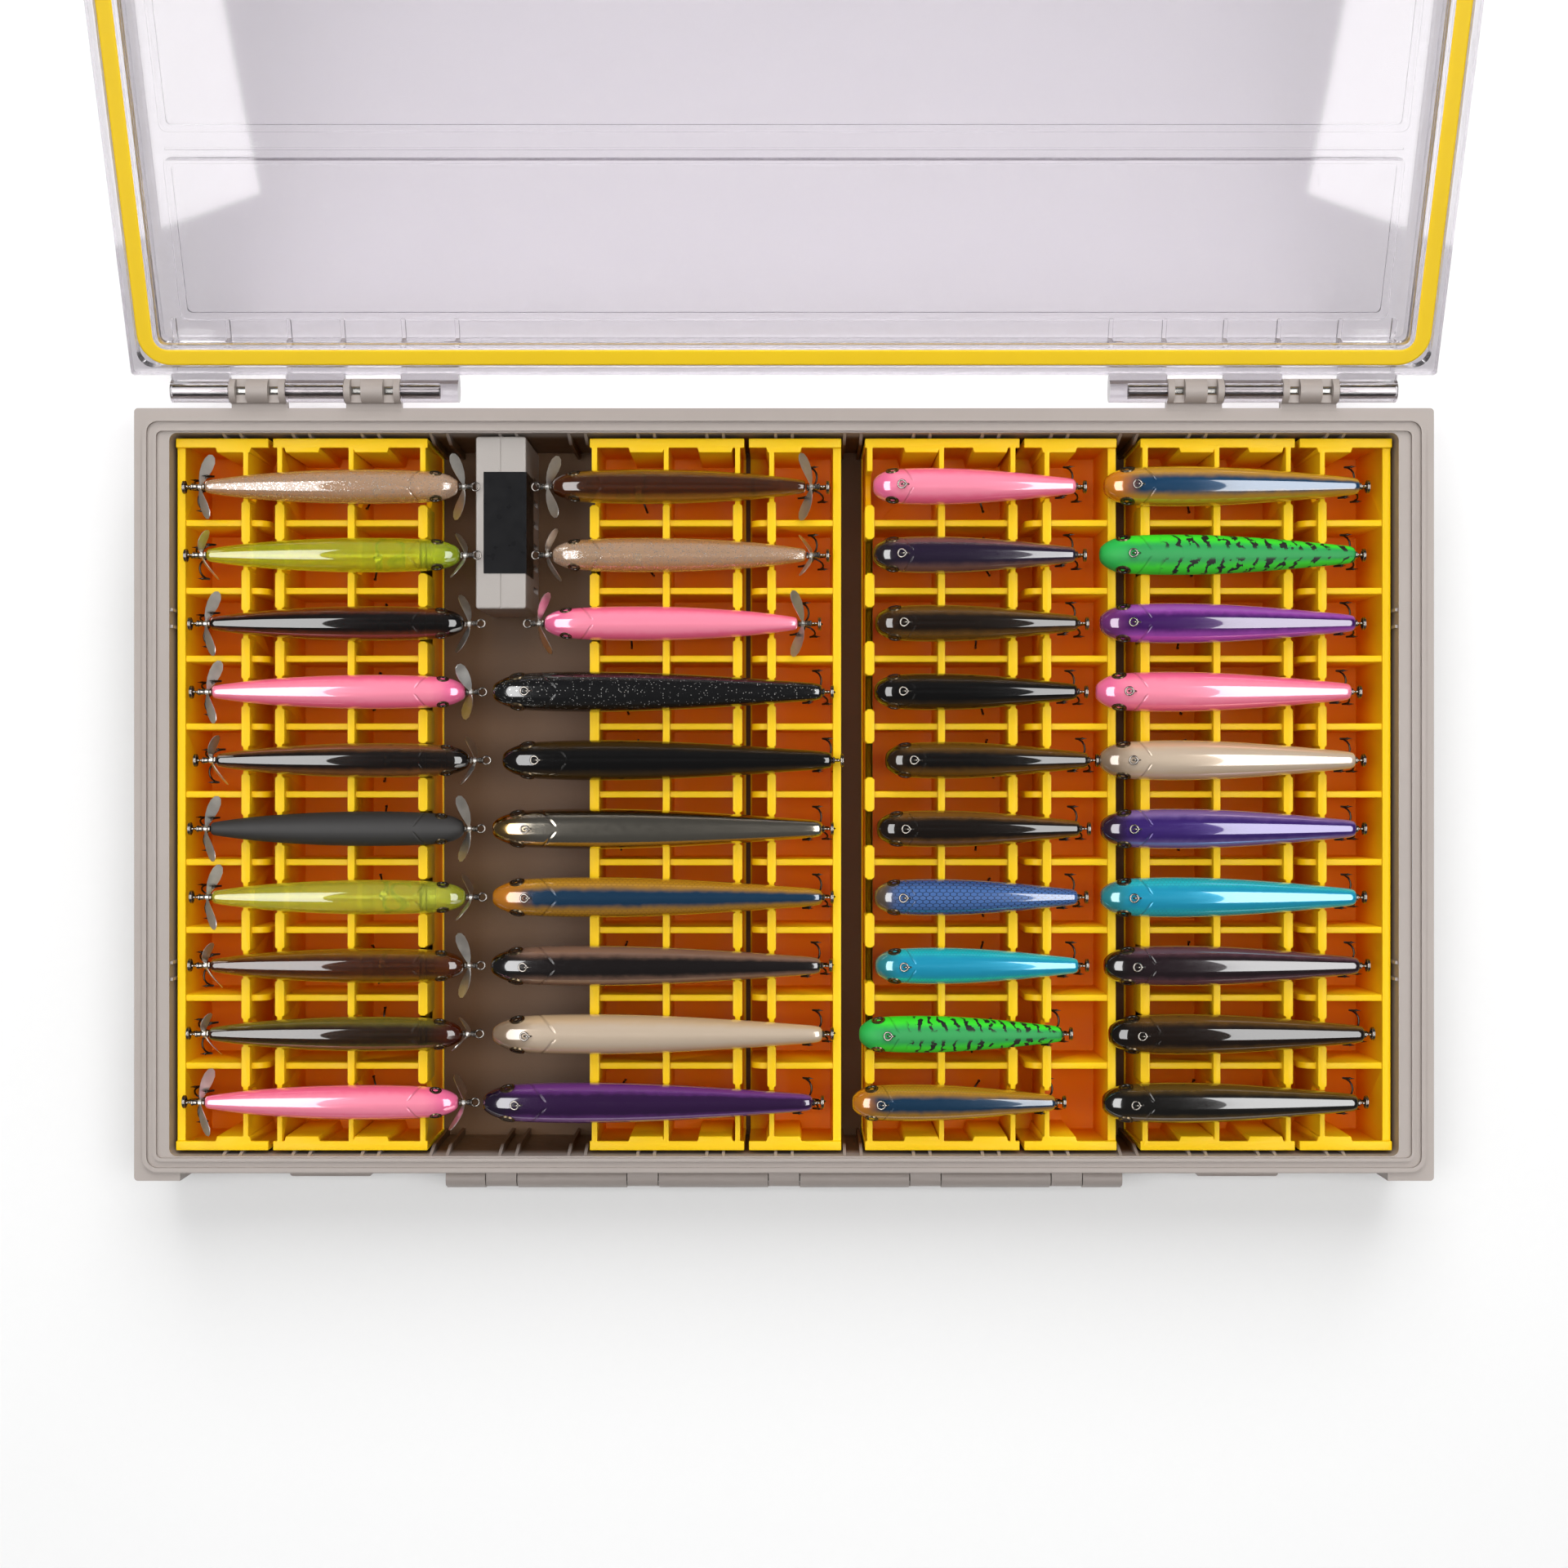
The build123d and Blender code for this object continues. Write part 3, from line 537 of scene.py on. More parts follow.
def build_fine_dust():
    """Sparse dust specks and hairline scuffs on polished plastic."""
    hand, entry, leave = new_group(
        "Dust And Scuffs",
        [("Vector", "vector", None), ("Density", "value", 0.5)],
        [("Specks", "value"), ("Scuffs", "value")],
    )
    cells = hand.add("ShaderNodeTexVoronoi", {"Vector": entry["Vector"], "Scale": 70.0})
    near = hand.math("LESS_THAN", cells.outputs["Distance"], 0.035)
    pick = hand.add("ShaderNodeSeparateColor", {"Color": cells.outputs["Color"]})
    chosen = hand.math("LESS_THAN", pick.outputs[0], hand.math("MULTIPLY", entry["Density"], 0.3))
    stretched = hand.vector("MULTIPLY", entry["Vector"], (1.0, 0.12, 0.12))
    lines = hand.noise(stretched, 900.0, 2.0)
    hand.feed(leave.inputs["Specks"], hand.math("MULTIPLY", near, chosen))
    hand.feed(leave.inputs["Scuffs"], hand.step(lines, 0.62, 0.8))


def build_lure_paint():
    """Back, flank, belly and head colours sprayed into each other along and round a lure."""
    hand, entry, leave = new_group(
        "Sprayed Lure Paint",
        [
            ("Along", "value", 0.0), ("Round", "value", 0.0), ("Vector", "vector", None),
            ("Back", "colour", (1, 1, 1, 1)), ("Flank", "colour", (1, 1, 1, 1)),
            ("Belly", "colour", (1, 1, 1, 1)), ("Head", "colour", (1, 1, 1, 1)),
            ("Back Reach", "value", 0.2), ("Head Reach", "value", 0.1),
        ],
        [("Colour", "colour"), ("Head Mask", "value")],
    )
    wander = hand.math("SUBTRACT", hand.noise(entry["Vector"], 260.0, 3.0), 0.5)
    drift = hand.math("MULTIPLY", wander, 0.07)
    turned = hand.math("ADD", entry["Round"], drift)
    reach = entry["Back Reach"]
    off_back = hand.step(turned, hand.math("SUBTRACT", reach, 0.07), hand.math("ADD", reach, 0.09))
    off_flank = hand.step(turned, 0.42, 0.62)
    head_end = hand.math("ADD", hand.math("ADD", entry["Head Reach"], drift), 0.05)
    off_head = hand.step(entry["Along"], hand.math("SUBTRACT", entry["Head Reach"], 0.05), head_end)
    side = hand.mix(off_back, entry["Back"], entry["Flank"])
    side = hand.mix(off_flank, side, entry["Belly"])
    hand.feed(leave.inputs["Colour"], hand.mix(off_head, entry["Head"], side))
    hand.feed(leave.inputs["Head Mask"], hand.inverse(off_head))


def build_gill_lines():
    """The moulded gill plate and mouth line, as a height and as a shade."""
    hand, entry, leave = new_group(
        "Gill And Mouth Lines",
        [("Along", "value", 0.0), ("Round", "value", 0.0)],
        [("Height", "value"), ("Shade", "value")],
    )
    sweep = hand.math("MULTIPLY", hand.math("POWER", hand.inverse(entry["Round"]), 2.0), 0.075)
    plate = hand.math("ABSOLUTE", hand.math("SUBTRACT", entry["Along"], hand.math("ADD", 0.125, sweep)))
    gill = hand.inverse(hand.step(plate, 0.0, 0.008))
    mouth_line = hand.math("ADD", 0.42, hand.math("MULTIPLY", entry["Along"], 1.2))
    from_mouth = hand.math("ABSOLUTE", hand.math("SUBTRACT", entry["Round"], mouth_line))
    mouth = hand.inverse(hand.step(from_mouth, 0.0, 0.03))
    mouth = hand.math("MULTIPLY", mouth, hand.math("LESS_THAN", entry["Along"], 0.075))
    away_from_top = hand.step(entry["Round"], 0.03, 0.1)
    line = hand.math("MAXIMUM", hand.math("MULTIPLY", gill, away_from_top), mouth)
    hand.feed(leave.inputs["Height"], hand.inverse(line))
    hand.feed(leave.inputs["Shade"], line)


def build_lure_flakes():
    """Glitter: small cells, of which a share shine."""
    hand, entry, leave = new_group(
        "Glitter Flakes",
        [("Vector", "vector", None), ("Scale", "value", 2000.0), ("Share", "value", 0.3)],
        [("Mask", "value")],
    )
    cells = hand.add("ShaderNodeTexVoronoi", {"Vector": entry["Vector"], "Scale": entry["Scale"]})
    pick = hand.add("ShaderNodeSeparateColor", {"Color": cells.outputs["Color"]})
    chosen = hand.math("LESS_THAN", pick.outputs[0], entry["Share"])
    inside = hand.math("LESS_THAN", cells.outputs["Distance"], 0.42)
    hand.feed(leave.inputs["Mask"], hand.math("MULTIPLY", chosen, inside))


def build_fish_scales():
    """A net of six-sided scales laid round the lure."""
    hand, entry, leave = new_group(
        "Fish Scales",
        [
            ("Along", "value", 0.0), ("Round", "value", 0.0),
            ("Rows Along", "value", 46.0), ("Rows Round", "value", 9.0),
        ],
        [("Net", "value")],
    )
    place = hand.add(
        "ShaderNodeCombineXYZ",
        {
            "X": hand.math("MULTIPLY", entry["Along"], entry["Rows Along"]),
            "Y": hand.math("MULTIPLY", entry["Round"], entry["Rows Round"]),
        },
    ).outputs[0]
    pitch = (1.0, 1.732, 1.0)
    half = (0.5, 0.866, 0.0)
    first = hand.vector("SUBTRACT", hand.vector("MODULO", place, pitch), half)
    shifted = hand.vector("ADD", place, half)
    second = hand.vector("SUBTRACT", hand.vector("MODULO", shifted, pitch), half)

    def cell_reach(vector):
        flat = hand.vector("ABSOLUTE", vector)
        product = hand.add("ShaderNodeVectorMath", {0: flat, 1: half}, operation="DOT_PRODUCT")
        slant = product.outputs["Value"]
        parts = hand.add("ShaderNodeSeparateXYZ", {0: flat})
        return hand.math("MAXIMUM", slant, parts.outputs[0])

    reach = hand.math("MINIMUM", cell_reach(first), cell_reach(second))
    hand.feed(leave.inputs["Net"], hand.step(reach, 0.38, 0.49))


def build_tiger_bars():
    """Broken dark bars down both sides of the back."""
    hand, entry, leave = new_group(
        "Tiger Bars",
        [
            ("Along", "value", 0.0), ("Round", "value", 0.0),
            ("Vector", "vector", None), ("Bars", "value", 17.0),
        ],
        [("Mask", "value")],
    )
    wander = hand.math("MULTIPLY", hand.noise(entry["Vector"], 210.0, 3.0, 0.6), 1.7)
    slant = hand.math("MULTIPLY", entry["Round"], 1.4)
    bars_along = hand.math("MULTIPLY", entry["Along"], entry["Bars"])
    place = hand.math("ADD", bars_along, hand.math("ADD", wander, slant))
    bar = hand.math("LESS_THAN", hand.math("FRACT", place), 0.33)
    upper = hand.step(entry["Round"], 0.05, 0.12)
    lower = hand.inverse(hand.step(entry["Round"], 0.42, 0.5))
    body = hand.step(entry["Along"], 0.22, 0.26)
    broken = hand.step(hand.noise(entry["Vector"], 340.0, 1.0), 0.36, 0.44)
    side = hand.math("MULTIPLY", hand.math("MULTIPLY", upper, lower), hand.math("MULTIPLY", body, broken))
    hand.feed(leave.inputs["Mask"], hand.math("MULTIPLY", bar, side))


# ---------------------------------------------------------------------------
# Materials
# ---------------------------------------------------------------------------


def new_material(name):
    """A material, a hand on its tree, its shader and the object coordinates."""
    material = bpy.data.materials.new(name)
    material.use_nodes = True
    hand = Tree(material.node_tree)
    shader = material.node_tree.nodes["Principled BSDF"]
    place = hand.add("ShaderNodeTexCoord").outputs["Object"]
    return material, hand, shader, place


def bump(hand, shader, height, depth, strength=1.0):
    """Feeds height, depth in metres, to the shader's normal."""
    node = hand.add("ShaderNodeBump", {"Height": height, "Distance": depth, "Strength": strength})
    hand.feed(shader.inputs["Normal"], node.outputs["Normal"])


def moulded_plastic(name, colour, roughness, grain, depth=0.04 * MM, soft=0.0, shine=0.5):
    """Opaque injection-moulded plastic with a fine grain."""
    material, hand, shader, place = new_material(name)
    out = hand.group("Moulded Grain", Vector=place, Scale=1.0 / grain)
    colour = list(colour) + [1.0]
    darker = [c * (1.0 - TONE_CHANGE) for c in colour[:3]] + [1.0]
    hand.feed(shader.inputs["Base Color"], hand.mix(out["Tone"], darker, colour))
    hand.feed(shader.inputs["Roughness"], hand.math("ADD", out["Roughness Shift"], roughness))
    shader.inputs["IOR"].default_value = 1.5
    shader.inputs["Specular IOR Level"].default_value = shine
    if soft:
        shader.inputs["Subsurface Weight"].default_value = soft
        shader.inputs["Subsurface Radius"].default_value = (1.0, 0.55, 0.12)
        shader.inputs["Subsurface Scale"].default_value = 1.6 * MM
    bump(hand, shader, out["Height"], depth)
    return material


def case_plastic(name, colour, roughness, grain):
    """The case's gray plastic: as moulded outside, and darker and browner down inside the tray, where
    painted shade and painted yellow bounce light are mixed into its colour.
    """
    material = moulded_plastic(name, colour, roughness, grain, shine=0.3)
    hand = Tree(material.node_tree)
    shader = material.node_tree.nodes["Principled BSDF"]
    place = hand.add("ShaderNodeTexCoord").outputs["Object"]
    low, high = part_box("rack_wide_4")
    parts = hand.add("ShaderNodeSeparateXYZ", {0: hand.vector("ABSOLUTE", place)})
    beside = hand.math("LESS_THAN", parts.outputs[0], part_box("rack_narrow_4")[1].x + 2.5 * MM)
    within = hand.math("LESS_THAN", parts.outputs[1], high.y + 2.5 * MM)
    # Painted shade and painted yellow bounce light: inside the tray's walls and below the racks' tops the
    # colour goes to a dark brown
    deep = hand.inverse(hand.step(parts.outputs[2], 0.75 * high.z, high.z))
    inside = hand.math("MULTIPLY", hand.math("MULTIPLY", beside, within), deep)
    outer = shader.inputs["Base Color"].links[0].from_socket
    share = hand.math("MULTIPLY", inside, TRAY_PAINTED_SHADE_SHARE)
    hand.feed(shader.inputs["Base Color"], hand.mix(share, outer, TRAY_PAINTED_SHADE))
    return material


def clear_plastic(name, tint, roughness):
    """Clear moulded plastic that casts only a faint shadow."""
    material, hand, shader, place = new_material(name)
    out = hand.group("Dust And Scuffs", Vector=place, Density=0.5)
    hand.feed(shader.inputs["Base Color"], hand.mix(out["Specks"], list(tint) + [1.0], LID_DUST))
    scuffed = hand.math("MULTIPLY", out["Scuffs"], 0.05)
    hand.feed(shader.inputs["Roughness"], hand.math("ADD", scuffed, roughness))
    shader.inputs["Transmission Weight"].default_value = 1.0
    shader.inputs["IOR"].default_value = 1.49
    shadow = hand.add("ShaderNodeLightPath").outputs["Is Shadow Ray"]
    through = hand.add("ShaderNodeBsdfTransparent", {"Color": LID_SHADOW})
    mixer = hand.add("ShaderNodeMixShader", {0: shadow, 1: shader.outputs[0], 2: through.outputs[0]})
    output = material.node_tree.nodes["Material Output"]
    hand.feed(output.inputs["Surface"], mixer.outputs[0])
    return material


def metal(name, colour, roughness):
    """Metal with a drawn or stamped surface."""
    material, hand, shader, place = new_material(name)
    out = hand.group("Moulded Grain", Vector=place, Scale=2600.0, Tone_Scale=260.0)
    dark = [c * 0.72 for c in colour] + [1.0]
    hand.feed(shader.inputs["Base Color"], hand.mix(out["Tone"], dark, list(colour) + [1.0]))
    rough = hand.math("ADD", hand.math("MULTIPLY", out["Tone"], BRUSHED * 2), roughness - BRUSHED)
    hand.feed(shader.inputs["Roughness"], rough)
    shader.inputs["Metallic"].default_value = 1.0
    bump(hand, shader, out["Height"], 0.004 * MM)
    return material


def woven_pad(name):
    """Absorbent white felted cloth."""
    material, hand, shader, place = new_material(name)
    threads = hand.noise(place, 1500.0, 4.0, 0.7)
    hand.feed(shader.inputs["Base Color"], hand.mix(threads, FELT_DARK, FELT_LIGHT))
    hand.feed(shader.inputs["Roughness"], hand.math("ADD", hand.math("MULTIPLY", threads, 0.1), 0.85))
    shader.inputs["Sheen Weight"].default_value = 0.3
    bump(hand, shader, threads, 0.15 * MM)
    return material


def lure_enamel(slot, coat):
    """Sprayed lure paint under a clear coat."""
    lure = bpy.context.scene.tackle_lure
    material, hand, shader, place = new_material(slot.replace("_", " ") + " enamel")
    along = hand.add("ShaderNodeAttribute", attribute_name="along").outputs["Fac"]
    around = hand.add("ShaderNodeAttribute", attribute_name="around").outputs["Fac"]
    matte = coat.get("matte", False)
    out = hand.group(
        "Sprayed Lure Paint", Along=along, Round=around, Vector=place,
        Back=linear(coat["back"]), Flank=linear(coat["flank"]),
        Belly=linear(coat["belly"]), Head=linear(coat["head"]),
        Back_Reach=coat.get("back_reach", 0.2), Head_Reach=HEAD_REACH,
    )
    colour = out["Colour"]
    metallic = coat.get("metal", 0.0) + coat.get("pearl", 0.0) * 0.45
    lines = hand.group("Gill And Mouth Lines", Along=along, Round=around)
    # Painted shade in the moulded gill crease and mouth line
    colour = hand.mix(hand.math("MULTIPLY", lines["Shade"], 0.22), colour, CREASE_SHADE_DARK)
    if "scales" in coat:
        net = hand.group("Fish Scales", Along=along, Round=around, Rows_Along=62.0, Rows_Round=15.0)["Net"]
        side = hand.math("MULTIPLY", hand.step(around, 0.16, 0.24), coat["scales"])
        colour = hand.mix(hand.math("MULTIPLY", net, side), colour, SCALE_EDGE)
    if "dark_scales" in coat:
        net = hand.group("Fish Scales", Along=along, Round=around, Rows_Along=30.0, Rows_Round=13.0)["Net"]
        on_head = hand.math("MULTIPLY", out["Head Mask"], 0.9)
        off_head = hand.math("SUBTRACT", coat["dark_scales"], on_head)
        colour = hand.mix(hand.math("MULTIPLY", net, off_head), colour, DARK_SCALE_EDGE)
    if "bars" in coat:
        bars = hand.group("Tiger Bars", Along=along, Round=around, Vector=place)["Mask"]
        colour = hand.mix(bars, colour, BAR_BLACK)
    if "flakes" in coat:
        share = coat["flakes"] * 0.5
        flakes = hand.group("Glitter Flakes", Vector=place, Scale=1.0 / lure.flake, Share=share)
        colour = hand.mix(hand.math("MULTIPLY", flakes["Mask"], 0.75), colour, FLAKE_WHITE)
        hand.feed(shader.inputs["Metallic"], hand.math("MULTIPLY", flakes["Mask"], 0.7))
    else:
        shader.inputs["Metallic"].default_value = min(1.0, metallic)
    mottle = hand.noise(place, 420.0, 2.0)
    base = 0.62 if matte else 0.12
    hand.feed(shader.inputs["Base Color"], colour)
    hand.feed(shader.inputs["Roughness"], hand.math("ADD", hand.math("MULTIPLY", mottle, 0.08), base))
    shader.inputs["Coat Weight"].default_value = 0.0 if matte else lure.gloss
    shader.inputs["Coat Roughness"].default_value = 0.025
    shader.inputs["Coat IOR"].default_value = 1.7
    if "clear" in coat:
        shader.inputs["Transmission Weight"].default_value = coat["clear"]
        shader.inputs["IOR"].default_value = 1.2
    bump(hand, shader, lines["Height"], 0.25 * MM)
    return material


# ---------------------------------------------------------------------------
# Lure shapes
# ---------------------------------------------------------------------------

RING_SIDES = 12
# A twelve-sided ring settles to this share of its radius once it is subdivided
SETTLED = 0.955


def radius_at(kind, share):
    """Half-depth of a lure in metres at a share of its length."""
    stations = kind["stations"]
    for (a, wide_a), (b, wide_b) in zip(stations, stations[1:]):
        if a <= share <= b:
            part = (share - a) / (b - a)
            return kind["half_depth"] * MM * (wide_a + (wide_b - wide_a) * part)
    raise ValueError(f"{share} is not on the lure")


def make_lure_body(name, kind):
    """A closed spindle, nose at the origin and tail on +X. Its points know their place along and around."""
    start_clean()
    length = kind["length"] * MM
    widest = kind["half_depth"] * MM / SETTLED * 0.995
    stations = kind["stations"]
    bpy.ops.mesh.primitive_circle_add(
        vertices=RING_SIDES, radius=widest * stations[0][1], fill_type="NGON",
        location=(0, 0, 0), rotation=(0, math.pi / 2, 0),
    )
    bpy.ops.object.mode_set(mode="EDIT")
    for (a, wide_a), (b, wide_b) in zip(stations, stations[1:]):
        ratio = wide_b / wide_a
        extrude_to((length * (b - a), 0, 0), (1.0, ratio, ratio), (length * b, 0, 0))
    bpy.ops.object.mode_set(mode="OBJECT")
    body = finish_shape(name, 180.0)
    smoother = body.modifiers.new("smooth_skin", "SUBSURF")
    smoother.levels = 2
    smoother.render_levels = 2
    apply_modifiers(body)
    along = body.data.attributes.new("along", "FLOAT", "POINT")
    around = body.data.attributes.new("around", "FLOAT", "POINT")
    for index, vertex in enumerate(body.data.vertices):
        x, y, z = vertex.co
        along.data[index].value = min(1.0, max(0.0, x / length))
        around.data[index].value = math.atan2(abs(y), z) / math.pi
    return body


def make_eye(name, long):
    """A domed eye in a thin metal rim, its back on the origin and its dome on +Z."""
    start_clean()
    radius = long * MM / 2
    bpy.ops.mesh.primitive_circle_add(vertices=16, radius=radius, fill_type="NGON", location=(0, 0, 0))
    bpy.ops.object.mode_set(mode="EDIT")
    extrude_to((0, 0, 0.75 * MM), 0.97, (0, 0, 0))
    extrude_to((0, 0, 0.12 * MM), 0.93, (0, 0, 0))
    extrude_to((0, 0, 0.0), 0.8, (0, 0, 0))
    extrude_to((0, 0, -0.12 * MM), 0.94, (0, 0, 0))
    extrude_to((0, 0, 0.3 * MM), 0.82, (0, 0, 0))
    extrude_to((0, 0, 0.16 * MM), 0.62, (0, 0, 0))
    bpy.ops.object.mode_set(mode="OBJECT")
    eye = bpy.context.object
    for vertex in eye.data.vertices:
        vertex.co.y *= 0.82
    return eye, radius


def settle_eye(eye, name, radius):
    """Finishes the eye and gives the pupil's faces the second material."""
    eye = finish_shape(name, 50.0)
    eye.data.materials.append(None)
    eye.data.materials.append(None)
    for face in eye.data.polygons:
        centre = face.center
        reach = math.hypot(centre.x, centre.y / 0.82)
        face.material_index = 1 if reach < radius * 0.69 and centre.z > 0 else 0
    return eye


def make_ring(name, radius, wire, steps=16, sides=6):
    """A closed wire ring round Z, centred on the origin."""
    start_clean()
    bpy.ops.mesh.primitive_circle_add(
        vertices=sides, radius=wire / 2, location=(radius, 0, 0), rotation=(math.pi / 2, 0, 0)
    )
    bpy.ops.object.mode_set(mode="EDIT")
    bpy.ops.mesh.select_all(action="SELECT")
    bpy.ops.mesh.spin(steps=steps, angle=TURN, center=(0, 0, 0), axis=(0, 0, 1))
    bpy.ops.object.mode_set(mode="OBJECT")
    return finish_shape(name, 180.0)


def make_hook(name, settings):
    """One hook: shank down from the origin, a round bend to +X, and a barbed point."""
    start_clean()
    wire = settings.hook_wire
    reach = settings.hook_reach
    drop = settings.hook_drop
    start = wire * 0.55
    bend = (reach - start) / 2
    top = 1.2 * MM
    bpy.ops.mesh.primitive_circle_add(
        vertices=6, radius=wire / 2, fill_type="NGON", location=(start, 0, -top)
    )
    bpy.ops.object.mode_set(mode="EDIT")
    extrude_to((0, 0, -(drop - top)))
    bpy.ops.mesh.spin(steps=8, angle=-math.pi, center=(start + bend, 0, -drop), axis=(0, 1, 0))
    tip = (start + 2 * bend, 0, -drop)
    extrude_to((0, 0, 2.6 * MM))
    extrude_to((0, 0, 0.3 * MM), (1.5, 1.3, 1.0), (tip[0], 0, tip[2] + 2.9 * MM))
    extrude_to((0, 0, 0.7 * MM), (0.5, 0.5, 1.0), (tip[0], 0, tip[2] + 3.6 * MM))
    extrude_to((0, 0, 1.3 * MM), (0.12, 0.12, 1.0), (tip[0], 0, tip[2] + 4.9 * MM))
    bpy.ops.object.mode_set(mode="OBJECT")
    return finish_shape(name, 60.0)


def make_treble(name, settings):
    """Three hooks brazed back to back under one eye."""
    hook = make_hook("hook_template", settings)
    eye = make_ring("hook_eye_template", TREBLE_EYE_RADIUS * MM, settings.hook_wire * 0.9, steps=12)
    start_clean()
    copies = []
    for index in range(3):
        copy = hook.copy()
        copy.data = hook.data.copy()
        copy.data.transform(Matrix.Rotation(TURN * index / 3 + math.pi / 6, 4, "Z"))
        bpy.context.scene.collection.objects.link(copy)
        copies.append(copy)
    eye.data.transform(Matrix.Rotation(math.pi / 2, 4, "X"))
    for copy in copies + [eye]:
        copy.select_set(True)
    bpy.context.view_layer.objects.active = eye
    bpy.ops.object.join()
    drop_templates(hook)
    eye.name = name
    return eye


def make_blade_pair(name, settings):
    """A stamped two-blade propeller round X: a hub and two cupped teardrop blades, twisted opposite ways."""
    start_clean()
    long = settings.blade
    middle = (0, long * 0.56, 0)
    bpy.ops.mesh.primitive_circle_add(vertices=14, radius=long / 2, fill_type="NGON", location=middle)
    bpy.ops.object.mode_set(mode="EDIT")
    bpy.ops.transform.resize(value=(0.46, 1.0, 1.0), center_override=middle)
    extrude_to((0, 0, 0.25 * MM))
    bpy.ops.object.mode_set(mode="OBJECT")
    blade = bpy.context.object
    for vertex in blade.data.vertices:
        far = (vertex.co.y + blade.location.y) / long
        vertex.co.x *= 0.45 + 0.75 * min(1.0, max(0.0, far))
        vertex.co.z += 0.8 * MM * (vertex.co.x / (0.23 * long)) ** 2 + 4.6 * MM * far * far
    blade = finish_shape(name, 60.0)
    blade.data.transform(Matrix.Rotation(math.radians(50), 4, "Y"))
    twin = blade.copy()
    twin.data = blade.data.copy()
    twin.data.transform(Matrix.Rotation(math.pi, 4, "X"))
    bpy.context.scene.collection.objects.link(twin)
    hub = make_bead("hub_template", 1.25 * MM, 1.9 * MM)
    start_clean()
    for part in (blade, twin, hub):
        part.select_set(True)
    bpy.context.view_layer.objects.active = blade
    bpy.ops.object.join()
    blade.name = name
    return blade


def make_bead(name, radius, long):
    """A turned bead or ferrule round X, rounded at both ends."""
    start_clean()
    bpy.ops.mesh.primitive_circle_add(
        vertices=10, radius=radius * 0.62, fill_type="NGON",
        location=(-long / 2, 0, 0), rotation=(0, math.pi / 2, 0),
    )
    bpy.ops.object.mode_set(mode="EDIT")
    for step, ratio, place in ((0.2, 1.5, -0.3), (0.6, 1.0, 0.3), (0.2, 0.66, 0.5)):
        extrude_to((long * step, 0, 0), (1.0, ratio, ratio), (long * place, 0, 0))
    bpy.ops.object.mode_set(mode="OBJECT")
    return finish_shape(name, 35.0)


def moved(x=0.0, y=0.0, z=0.0):
    """A shift in metres."""
    return Matrix.Translation((x, y, z))


def turned(degrees, axis):
    """A turn about a main axis."""
    return Matrix.Rotation(math.radians(degrees), 4, axis)


def tackle_parts(kit, kind, hook_share, row):
    """Where every ring, hook, blade and bead of one lure goes, nose at the origin and tail on +X."""
    length = kind["length"] * MM
    parts = []
    hook_at = hook_share * length
    belly = -radius_at(kind, hook_share)
    parts.append((kit["washer"], moved(hook_at, 0, belly + 0.1 * MM) @ turned(90, "Y")))
    parts.append((kit["eye_loop"], moved(hook_at, 0, belly - 1.0 * MM) @ turned(90, "X")))
    parts.append((kit["treble"], moved(hook_at, 0, belly - 2.6 * MM) @ turned(20 * (row % 3), "Z")))
    if kind["props"]:
        nose_turn = NOSE_PROP_TURNS[row - 1]
        tail_turn = TAIL_PROP_TURNS[row - 1]
        for end, side, angle in ((0.0, -1, nose_turn), (length, 1, tail_turn)):
            for name, beyond in PROP_STACK:
                place = moved(end + side * beyond * MM)
                if name == "blades":
                    place = place @ turned(angle, "X") @ turned(0 if side < 0 else 180, "Z")
                if name == "eye_loop":
                    place = place @ turned(0 if side < 0 else 90, "X")
                parts.append((kit[name], place))
        tail_ring = length + 8.2 * MM
    else:
        top = radius_at(kind, kind["tie_at"])
        tie_at = kind["tie_at"] * length
        parts.append((kit["eye_loop"], moved(tie_at, 0, top - 0.55 * MM) @ turned(90, "X")))
        parts.append((kit["eye_loop"], moved(tie_at - 1.3 * MM, 0, top + 0.5 * MM) @ turned(-14, "Y")))
        parts.append((kit["washer"], moved(length + 0.2 * MM)))
        parts.append((kit["eye_loop"], moved(length + 1.5 * MM) @ turned(90, "X")))
        tail_ring = length + 3.2 * MM
    parts.append((kit["split_ring"], moved(tail_ring, 0, -1.6 * MM) @ turned(90, "Y")))
    folded = turned(TAIL_HOOK_FOLD, "Y") @ turned(180, "Z")
    parts.append((kit["treble"], moved(tail_ring, 0, -4.0 * MM) @ folded))
    return parts


def lure_rows():
    """Every lure node with its column letter, row number, kind and finish, in the record's order."""
    rows = []
    for node in sorted(NODES):
        if not node.startswith("lure_"):
            continue
        letter = node[5]
        row = int(node[6:8])
        slot = "lure_" + node[9:]
        kind_name = COLUMN_KINDS[letter]
        if letter == "b" and row <= TWIN_PROPS_IN_B:
            kind_name = "twin_prop"
        if slot == "lure_pink":
            slot = "lure_rose"
        rows.append((node, letter, row, kind_name, slot))
    return rows


# ---------------------------------------------------------------------------
# Operators
# ---------------------------------------------------------------------------


class TACKLE_OT_node_groups(bpy.types.Operator):
    """Builds the shared node groups that the finishes use"""

    bl_idname = "tackle.node_groups"
    bl_label = "Shared Effects"

    def execute(self, context):
        build_moulded_grain()
        build_fine_dust()
        build_lure_paint()
        build_gill_lines()
        build_lure_flakes()
        build_fish_scales()
        build_tiger_bars()
        return {"FINISHED"}


class TACKLE_OT_case(bpy.types.Operator):
    """Finishes the gray tray, the latch and the steel pins"""

    bl_idname = "tackle.case"
    bl_label = "Tray, Latch And Pins"

    def execute(self, context):
        case = context.scene.tackle_case
        gray = case_plastic("Moulded gray plastic", case.gray, case.roughness, case.grain)
        steel = metal("Hinge pin steel", (0.62, 0.6, 0.57), 0.24)
        for node in ("tray", "latch"):
            paint(NODES[node], gray)
        for node in ("hinge_pin_left", "hinge_pin_right", "latch_pin"):
            paint(NODES[node], steel)
        return {"FINISHED"}


